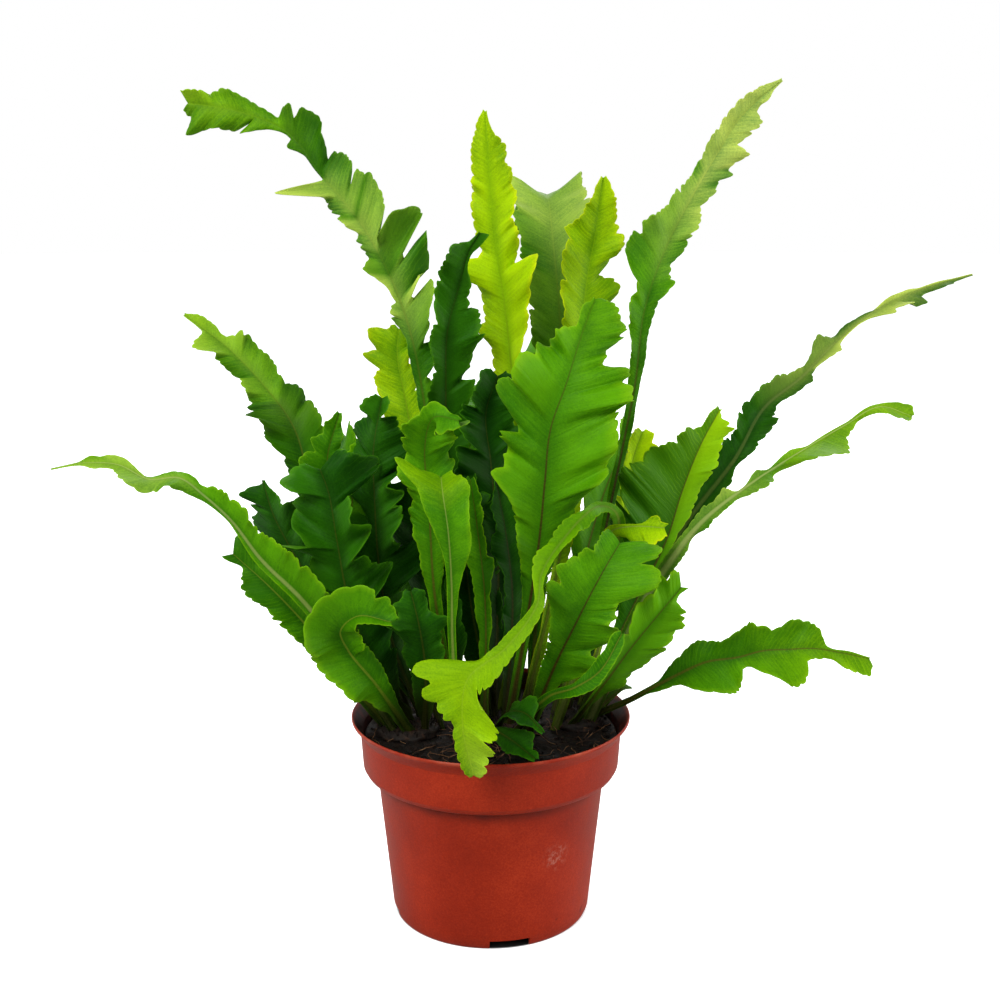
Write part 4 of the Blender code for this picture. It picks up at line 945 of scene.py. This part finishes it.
def rows_of(design, luck):
    """A frond's points and, for each of them, its thickness, near, share and lean."""
    steps = follow(design)
    at, stations, middle, ahead, face, across = steps
    left, right = [half_blade(design, side, steps, luck) for side in ("left", "right")]
    rib = rib_of(design, at, stations[-1])[:, None]
    groove = (middle - GROOVE * rib * face)[:, None, :]
    near = np.stack([rib * 0, rib * 0 + FAR, at[:, None] / MM], axis=2)
    spine = (groove, rib * SPINE_THICK, near, rib * 0, rib * 0)
    return [whole(*parts) for parts in zip(left, spine, right)], 100.0 * at / stations[-1]


print("a frond has", rows_of(fronds["frond_upper_right"], random.Random(3))[0][1].shape, "rows and columns")

# %% Growing the fronds
# How strongly a lobe's tilt paints light and shade into its lightness, and sheen into its pale tint.
LOBE_PAINTED_SHADE = 0.35
LOBE_PAINTED_SHEEN = 1.2


def grow(name, design, number):
    """Makes one frond of the table and returns its object."""
    luck = random.Random(100 + number)
    (points, thick, near, share, lean), percent = rows_of(design, luck)
    tone = luck.uniform(-0.12, 0.12)
    # The tones of the two halves lighten or darken them: partly painted light and shade.
    halves = design.get("tones", (0.0, 0.0))
    ruffle = design.get("ruffle", 1.0)
    rows, columns = thick.shape
    points, near, share, lean = [part.tolist() for part in (points, near, share, lean)]
    weight = (thick / STOUT).clip(0.0, 1.0).tolist()
    pale, yellow, deep = [np.interp(percent, *zip(*design.get(hint, TINTS[hint]))).tolist() for hint in TINTS]
    work = bmesh.new()
    bmesh.ops.create_grid(work, x_segments=columns - 1, y_segments=rows - 1, size=1.0)
    deform = work.verts.layers.deform.verify()
    near_layer = work.verts.layers.float_vector.new("near")
    growth_layer = work.verts.layers.float_vector.new("growth")
    tint_layer = work.verts.layers.float_vector.new("tint")
    for vertex in work.verts:
        i = round((vertex.co.x + 1.0) / 2.0 * (columns - 1))
        j = round((vertex.co.y + 1.0) / 2.0 * (rows - 1))
        vertex.co = points[j][i]
        vertex[deform][0] = weight[j][i]
        vertex[near_layer] = near[j][i]
        # Lobes are lightened or darkened, and made paler, by their tilt: painted light, shade and sheen.
        tone_and_shade = tone + halves[2 * i > columns] + LOBE_PAINTED_SHADE * ruffle * lean[j][i]
        vertex[growth_layer] = (share[j][i], design["stalk"], tone_and_shade)
        vertex[tint_layer] = (pale[j] * (1.0 + LOBE_PAINTED_SHEEN * lean[j][i]), yellow[j], deep[j])
    for face in work.faces:
        face.smooth = True
    frond = as_object(work, name + "_leaf")
    for finish in leaf_finishes[design["kind"]]:
        frond.data.materials.append(finish)
    frond.vertex_groups.new(name="thick")
    wall = frond.modifiers.new("wall", "SOLIDIFY")
    wall.thickness = STOUT
    wall.offset = 0.0
    wall.vertex_group = "thick"
    wall.material_offset = 1
    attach(frond, "root")
    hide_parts(name)
    return frond


grown_fronds = [grow(name, design, number) for number, (name, design) in enumerate(fronds.items())]
print(len(grown_fronds), "fronds,", sum(len(f.data.polygons) for f in grown_fronds), "quads before thickness")

# %% [markdown]
# ## The pot
# A nursery pot is blown or moulded from thin plastic, so it is one turned shell: a thin flared lip, a
# stepped collar with a rounded shoulder, and a tapered wall. Its outline is drawn as a few points and
# spun round the middle, which is quicker and rounder than joining cylinders. The sharp rings are
# bevelled afterwards. Four drain notches in the foot and four holes in the floor are cut away.

# %% The pot's outline
RIM = 60.0
HIGH = 88.9
STEP = 63.9
WALL = 0.9
FLOOR_UNDER = 4.2
FLOOR_TOP = 5.4


def collar_radius(z):
    """The collar's outer radius at a height, which grows a little towards the lip."""
    return 55.0 + 1.6 * (z - STEP) / 25.0


def body_radius(z):
    """The wall's outer radius at a height, which grows evenly from the foot to the step."""
    return 42.7 + 6.5 * z / STEP


outer = [(RIM - 0.5, HIGH), (RIM, HIGH - 0.5), (RIM - 0.2, HIGH - 1.5), (RIM - 2.0, HIGH - 3.6),
         (collar_radius(82.4), 82.4), (collar_radius(67.1), 67.1), (54.1, 65.1), (52.1, 64.0),
         (49.2, 63.7), (body_radius(30.0), 30.0), (body_radius(6.0), 6.0), (body_radius(2.0), 2.0),
         (42.0, 0.0)]
under = [(41.0, 0.0), (40.8, FLOOR_UNDER), (10.8, FLOOR_UNDER), (10.0, 0.0), (0.0, 0.0)]
inner = [(0.0, FLOOR_TOP), (body_radius(FLOOR_TOP) - WALL, FLOOR_TOP), (body_radius(9.0) - WALL, 9.0),
         (48.3, 64.6), (51.8, 65.0), (53.4, 65.9), (collar_radius(67.5) - WALL, 67.5),
         (collar_radius(82.7) - WALL, 82.7), (RIM - 2.9, HIGH - 3.3), (RIM - 1.2, HIGH - 1.2)]
print("the pot is", 2 * RIM, "mm wide and", HIGH, "mm high")

# %% Turning the pot
def turned(outline, steps, round_off=0.0):
    """Spins an outline of (radius, height) points in millimetres round the middle."""
    work = bmesh.new()
    ring = [work.verts.new((r * MM, 0.0, z * MM)) for r, z in outline]
    for first, second in zip(ring, ring[1:] + ring[:1]):
        work.edges.new((first, second))
    bmesh.ops.spin(work, geom=work.verts[:] + work.edges[:], cent=(0, 0, 0), axis=(0, 0, 1),
                   angle=2 * math.pi, steps=steps, use_merge=True)
    bmesh.ops.remove_doubles(work, verts=work.verts, dist=0.00001)
    bmesh.ops.dissolve_degenerate(work, edges=work.edges, dist=0.00001)
    bmesh.ops.recalc_face_normals(work, faces=work.faces)
    if round_off:
        rings = [e for e in work.edges if len(e.link_faces) == 2 and e.calc_face_angle(0.0) > 0.35
                 and abs(e.verts[0].co.z - e.verts[1].co.z) < 1e-6 and e.verts[0].co.xy.length > 0.03]
        bmesh.ops.bevel(work, geom=rings, offset=round_off, segments=3, profile=0.5, affect="EDGES",
                        material=-1, clamp_overlap=True)
    for face in work.faces:
        face.smooth = True
    return work


pot = as_object(turned(outer + under + inner, 160, 0.28 * MM), "nursery_pot")
print("the turned pot has", len(pot.data.polygons), "faces")

# %% Cutting the drain notches and holes
NOTCH = (14 * MM, 17 * MM, 7.6 * MM)
NOTCH_OUT = 43 * MM
NOTCH_TURN = -79
HOLE_RADIUS = 3.5 * MM
HOLE_OUT = 27 * MM
HOLE_TURN = -34
knives = bmesh.new()
for quarter in range(4):
    turn = math.radians(90 * quarter + NOTCH_TURN)
    block = bmesh.ops.create_cube(knives, size=1.0)["verts"]
    bmesh.ops.scale(knives, vec=NOTCH, verts=block)
    bmesh.ops.translate(knives, vec=(NOTCH_OUT, 0.0, 0.0), verts=block)
    bmesh.ops.rotate(knives, cent=(0, 0, 0), matrix=Matrix.Rotation(turn, 3, "Z"), verts=block)
for quarter in range(4):
    turn = math.radians(90 * quarter + HOLE_TURN)
    drill = bmesh.ops.create_cone(knives, cap_ends=True, segments=20, radius1=HOLE_RADIUS,
                                  radius2=HOLE_RADIUS, depth=12 * MM)["verts"]
    spot = (HOLE_OUT * math.cos(turn), HOLE_OUT * math.sin(turn), 3.6 * MM)
    bmesh.ops.translate(knives, vec=spot, verts=drill)
cutters = as_object(knives, "pot_knives")
cut = pot.modifiers.new("cut", "BOOLEAN")
cut.operation = "DIFFERENCE"
cut.solver = "EXACT"
cut.object = cutters
bpy.context.view_layer.update()
finished = bpy.data.meshes.new_from_object(pot.evaluated_get(bpy.context.evaluated_depsgraph_get()))
pot.modifiers.clear()
pot.data = finished
bpy.data.objects.remove(cutters)
finished.set_sharp_from_angle(angle=math.radians(38))
inside = finished.attributes.new("inside", "FLOAT", "FACE")
for face in finished.polygons:
    inside.data[face.index].value = float(face.normal.xy.dot(face.center.xy.normalized()) < -0.3)
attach(pot, "root")
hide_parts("pot")
print("the cut pot has", len(finished.polygons), "faces")

# %% [markdown]
# ## The pot's plastic
# The plastic is a dull red-brown with a soft sheen. Close up it has a very fine mottling and faint
# flow lines that run down the wall. A darker, blotchy band runs just under the collar, the top of the
# lip is paler in patches, handling leaves a pale scuff low on the right, and there are a few dark
# specks near the foot. The inside wall is dark, partly as soil stain and partly as painted shade. Its
# faces are marked by the attribute inside, and the rest is placed by the height and the place on the pot.

# %% The pot's plastic
SCUFF_AT = (0.0270, -0.0375, 0.0395)
plastic, tree, shader = finish_material("terracotta_plastic_skin", Specular_IOR_Level=0.2)
place = here(tree)
height = times(tree, put(tree, "SeparateXYZ", {0: place}).outputs[2], 1000.0)
cloud = grain(tree, place, 26.0, 4.0, 0.6)
speck = grain(tree, place, 1300.0, 3.0, 0.7)
stretch = put(tree, "Mapping", {"Vector": place, "Scale": (1.0, 1.0, 0.08)}).outputs[0]
flow = grain(tree, stretch, 420.0, 3.0)
mottle = plus(tree, times(tree, cloud, 0.5), times(tree, speck, 0.5))
colour = ramp(tree, mottle, (0.36, paint(136, 31, 11)), (0.52, paint(160, 41, 15)),
              (0.66, paint(182, 54, 23)))
# A darker, blotchy band just under the collar step.
under_collar_band = times(tree, between(tree, height, 57.5, 62.5), between(tree, height, 63.5, 65.2, 1.0, 0.0))
under_collar_band = times(tree, under_collar_band, between(tree, grain(tree, place, 120.0), 0.2, 0.7, 0.25, 0.8))
colour = blend(tree, under_collar_band, colour, paint(104, 28, 17))
# Paler patches along the top of the lip.
paler_lip_top = times(tree, between(tree, height, 86.4, 88.4), between(tree, grain(tree, place, 70.0), 0.42, 0.7))
colour = blend(tree, times(tree, paler_lip_top, 0.5), colour, paint(196, 104, 78))
soiled = times(tree, between(tree, grain(tree, place, 230.0, 2.0), 0.66, 0.72),
               between(tree, height, 4.0, 16.0, 0.75, 0.0))
colour = blend(tree, soiled, colour, paint(60, 22, 14))
off_scuff = put(tree, "VectorMath", {0: place, 1: SCUFF_AT}, operation="DISTANCE").outputs["Value"]
scuff = times(tree, between(tree, off_scuff, 0.002, 0.008, 1.0, 0.0),
              between(tree, grain(tree, place, 420.0, 4.0, 0.7), 0.45, 0.66))
colour = blend(tree, times(tree, scuff, 0.22), colour, paint(232, 190, 172))
# The inside wall is darkened: partly soil stain, partly painted shade in the pot's hollow.
soil_stain_and_shade = times(tree, put(tree, "Attribute", attribute_name="inside").outputs["Fac"],
             between(tree, grain(tree, place, 150.0), 0.3, 0.6, 0.8, 1.0))
soil_stain_and_shade = times(tree, soil_stain_and_shade, between(tree, height, 86.6, 88.6, 1.0, 0.2))
colour = blend(tree, soil_stain_and_shade, colour, paint(38, 13, 8))
polish = between(tree, plus(tree, cloud, times(tree, scuff, 0.4)), 0.25, 0.9, 0.33, 0.5)
relief = plus(tree, times(tree, flow, 0.7), times(tree, speck, 0.5))
cover(tree, shader, colour, polish, relief, 0.22, 0.0003)
pot.data.materials.clear()
pot.data.materials.append(plastic)
print("the pot's finish has", len(tree.nodes), "nodes")

# %% [markdown]
# ## The soil
# The pot is filled with dark peat: crumbs, short fibres and fine roots. The root ball is a turned
# solid that follows the pot's inside. Its top is a fine set of rings whose points are lifted by noise
# into crumbs, and loose crumbs and fibres lie on it.

# %% The root ball
SOIL_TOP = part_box("potting_soil")[1].z / MM
SOIL_FOOT = 4.6
CRUMB_HIGH = 0.9
clear = WALL + 0.35
edge = collar_radius(SOIL_TOP) - clear
side_wall = [(edge - 1.0, SOIL_TOP), (edge, SOIL_TOP - 1.5), (collar_radius(67.5) - clear, 67.9),
             (54.0 - clear, 66.9), (51.6 - clear, 65.9), (49.1 - clear, 65.5),
             (body_radius(4.2) - clear - 0.2, SOIL_FOOT), (0.0, SOIL_FOOT)]
rings = [(r, SOIL_TOP - CRUMB_HIGH) for r in np.arange(0.0, edge - 1.2, 1.1)]
work = turned(rings + side_wall, 220)
for vertex in work.verts:
    if vertex.co.z > (SOIL_TOP - 1.0) * MM and vertex.co.xy.length < (edge - 1.1) * MM:
        spot = vertex.co / MM
        lumps = 1.3 * noise.noise(spot * 0.10) + 0.9 * noise.noise(spot * 0.33)
        lumps += 0.7 * noise.noise(spot * 0.9)
        vertex.co.z += max(-1.8, min(lumps, 1.9)) * MM
root_ball = as_object(work, "root_ball")
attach(root_ball, "root")
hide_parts("potting_soil")
print("the soil's top is", round(SOIL_TOP, 1), "mm up, with", len(root_ball.data.polygons), "faces")

# %% Loose crumbs
def on_soil(luck, spread):
    """A random place on the soil, in millimetres from its middle."""
    far = edge * math.sqrt(luck.uniform(0.0, spread))
    angle = luck.uniform(0.0, 2 * math.pi)
    return far * math.cos(angle), far * math.sin(angle)


luck = random.Random(11)
loose = bmesh.new()
for number in range(420):
    crumb = bmesh.ops.create_icosphere(loose, subdivisions=1, radius=luck.uniform(0.45, 1.5) * MM)["verts"]
    shape = (luck.uniform(0.7, 1.6), luck.uniform(0.6, 1.1), luck.uniform(0.4, 0.8))
    bmesh.ops.scale(loose, vec=shape, verts=crumb)
    x, y = on_soil(luck, 0.93)
    spin = Matrix.Rotation(luck.uniform(0.0, 6.3), 3, "Z") @ Matrix.Rotation(luck.uniform(-0.5, 0.5), 3, "X")
    bmesh.ops.rotate(loose, cent=(0, 0, 0), matrix=spin, verts=crumb)
    z = SOIL_TOP - 0.6 + luck.uniform(-0.2, 0.7)
    bmesh.ops.translate(loose, vec=(x * MM, y * MM, z * MM), verts=crumb)
crumbs = as_object(loose, "peat_crumbs")
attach(crumbs, "root")
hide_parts("potting_soil")
print("the crumbs have", len(crumbs.data.polygons), "faces")

# %% Root fibres
def thread(name, paths, radius):
    """Thin round threads along lists of points, made as one mesh."""
    curve = bpy.data.curves.new(name, "CURVE")
    curve.dimensions = "3D"
    curve.bevel_depth = radius
    curve.bevel_resolution = 1
    curve.resolution_u = 3
    for path in paths:
        line = curve.splines.new("NURBS")
        line.points.add(len(path) - 1)
        for spot, knot in zip(path, line.points):
            knot.co = (*spot, 1.0)
        line.use_endpoint_u = True
        line.order_u = 3
    holder = bpy.data.objects.new(name + "_path", curve)
    bpy.context.scene.collection.objects.link(holder)
    bpy.context.view_layer.update()
    mesh = bpy.data.meshes.new_from_object(holder.evaluated_get(bpy.context.evaluated_depsgraph_get()))
    bpy.data.objects.remove(holder)
    made = bpy.data.objects.new(name, mesh)
    bpy.context.scene.collection.objects.link(made)
    return made


paths = []
for number in range(150):
    spot = Vector((*on_soil(luck, 0.9), SOIL_TOP + 0.3)) * MM
    heading = luck.uniform(0.0, 2 * math.pi)
    path = []
    for step in range(luck.randint(4, 7)):
        path.append(spot.copy())
        heading += luck.uniform(-0.6, 0.6)
        ahead = Vector((math.cos(heading), math.sin(heading), luck.uniform(-0.12, 0.25)))
        spot += ahead * luck.uniform(1.5, 3.0) * MM
        if spot.xy.length > (edge - 0.8) * MM:
            break
    if len(path) > 2:
        paths.append(path)
fibres = thread("peat_fibres", paths, 0.16 * MM)
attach(fibres, "root")
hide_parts("potting_soil")
print(len(paths), "fibres lie on the soil")

# %% The soil's finish
peat, tree, shader = finish_material("peat", Specular_IOR_Level=0.2)
place = here(tree)
lump = grain(tree, place, 300.0, 5.0, 0.7)
colour = ramp(tree, lump, (0.3, paint(8, 6, 5)), (0.5, paint(24, 16, 11)), (0.72, paint(56, 36, 24)))
damp = between(tree, grain(tree, place, 45.0), 0.35, 0.65)
colour = blend(tree, times(tree, damp, 0.55), colour, paint(8, 6, 5))
cover(tree, shader, colour, between(tree, damp, 0.0, 1.0, 0.95, 0.7), lump, 0.9, 0.0008)
straw, tree, shader = finish_material("root_fibre", Specular_IOR_Level=0.25, Roughness=0.8)
cover(tree, shader, ramp(tree, grain(tree, here(tree), 160.0), (0.35, paint(44, 28, 18)),
                         (0.55, paint(96, 66, 42)), (0.75, paint(150, 118, 84))))
for piece, finish in ((root_ball, peat), (crumbs, peat), (fibres, straw)):
    piece.data.materials.clear()
    piece.data.materials.append(finish)
print("peat and fibre finishes are set")

# %% [markdown]
# ## The crowns
# Each of the three plants grows from a short rhizome, a brown mound from which its stalks rise. It is
# covered with narrow papery scales. The mound is a squashed ball, and the scales are small pointed
# strips that stand up between the stalks.

# %% The scales' finish
scaly, tree, shader = finish_material("crown_scale_skin", Specular_IOR_Level=0.3, Roughness=0.7)
place = here(tree)
colour = ramp(tree, grain(tree, place, 260.0, 4.0, 0.65), (0.3, paint(12, 8, 6)), (0.55, paint(30, 19, 12)),
              (0.75, paint(70, 44, 26)))
cover(tree, shader, colour, relief=grain(tree, place, 700.0), strength=0.7, depth=0.0005)
print("the scales' finish has", len(tree.nodes), "nodes")

# %% The crowns
MOUND = 4.6 * MM
SCALES_PER_MM = 9


def scales(work, centre, wide, luck):
    """Narrow pointed scales that stand all over a mound, leaning outwards."""
    for count in range(int(SCALES_PER_MM * wide / MM)):
        angle = luck.uniform(0.0, 2 * math.pi)
        far = wide * math.sqrt(luck.uniform(0.02, 1.0))
        up = 4.2 * MM * math.sqrt(max(0.05, 1 - (far / wide) ** 2)) - 0.6 * MM
        root = centre + Vector((far * math.cos(angle), far * math.sin(angle), up))
        scale = bmesh.ops.create_cone(work, cap_ends=True, segments=4, radius1=luck.uniform(0.4, 0.8) * MM,
                                      radius2=0.05 * MM, depth=luck.uniform(2.4, 5.0) * MM)["verts"]
        bmesh.ops.scale(work, vec=(1.0, 0.35, 1.0), verts=scale)
        lean = Matrix.Rotation(angle, 3, "Z") @ Matrix.Rotation(luck.uniform(0.1, 0.9), 3, "Y")
        twist = Matrix.Rotation(luck.uniform(0, 3.1), 3, "Z")
        bmesh.ops.rotate(work, cent=(0, 0, 0), matrix=lean @ twist, verts=scale)
        bmesh.ops.translate(work, vec=root + Vector((0, 0, 1.2 * MM)), verts=scale)


def crown(name, number):
    """A mound with scales where the frame has its plain crown."""
    low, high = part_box(name)
    wide = (high.x - low.x) / 2
    centre = Vector(((low.x + high.x) / 2, (low.y + high.y) / 2, low.z))
    work = bmesh.new()
    ball = bmesh.ops.create_icosphere(work, subdivisions=4, radius=1.0)["verts"]
    for vertex in ball:
        bump = 1.0 + 0.10 * noise.noise(vertex.co * 3.0 + centre * 90.0) + 0.05 * noise.noise(vertex.co * 9.0)
        x, y, z = vertex.co * bump
        vertex.co = Vector((x * wide, y * wide, max(z, -0.3) * MOUND)) + centre
    for face in work.faces:
        face.smooth = True
    scales(work, centre, wide, random.Random(40 + number))
    made = as_object(work, name + "_mound")
    made.data.materials.append(scaly)
    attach(made, "root")
    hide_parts(name)
    return made


crowns = [crown(name, number) for number, name in enumerate(("crown_left", "crown_middle", "crown_right"))]
print("crowns:", [len(c.data.polygons) for c in crowns], "faces")
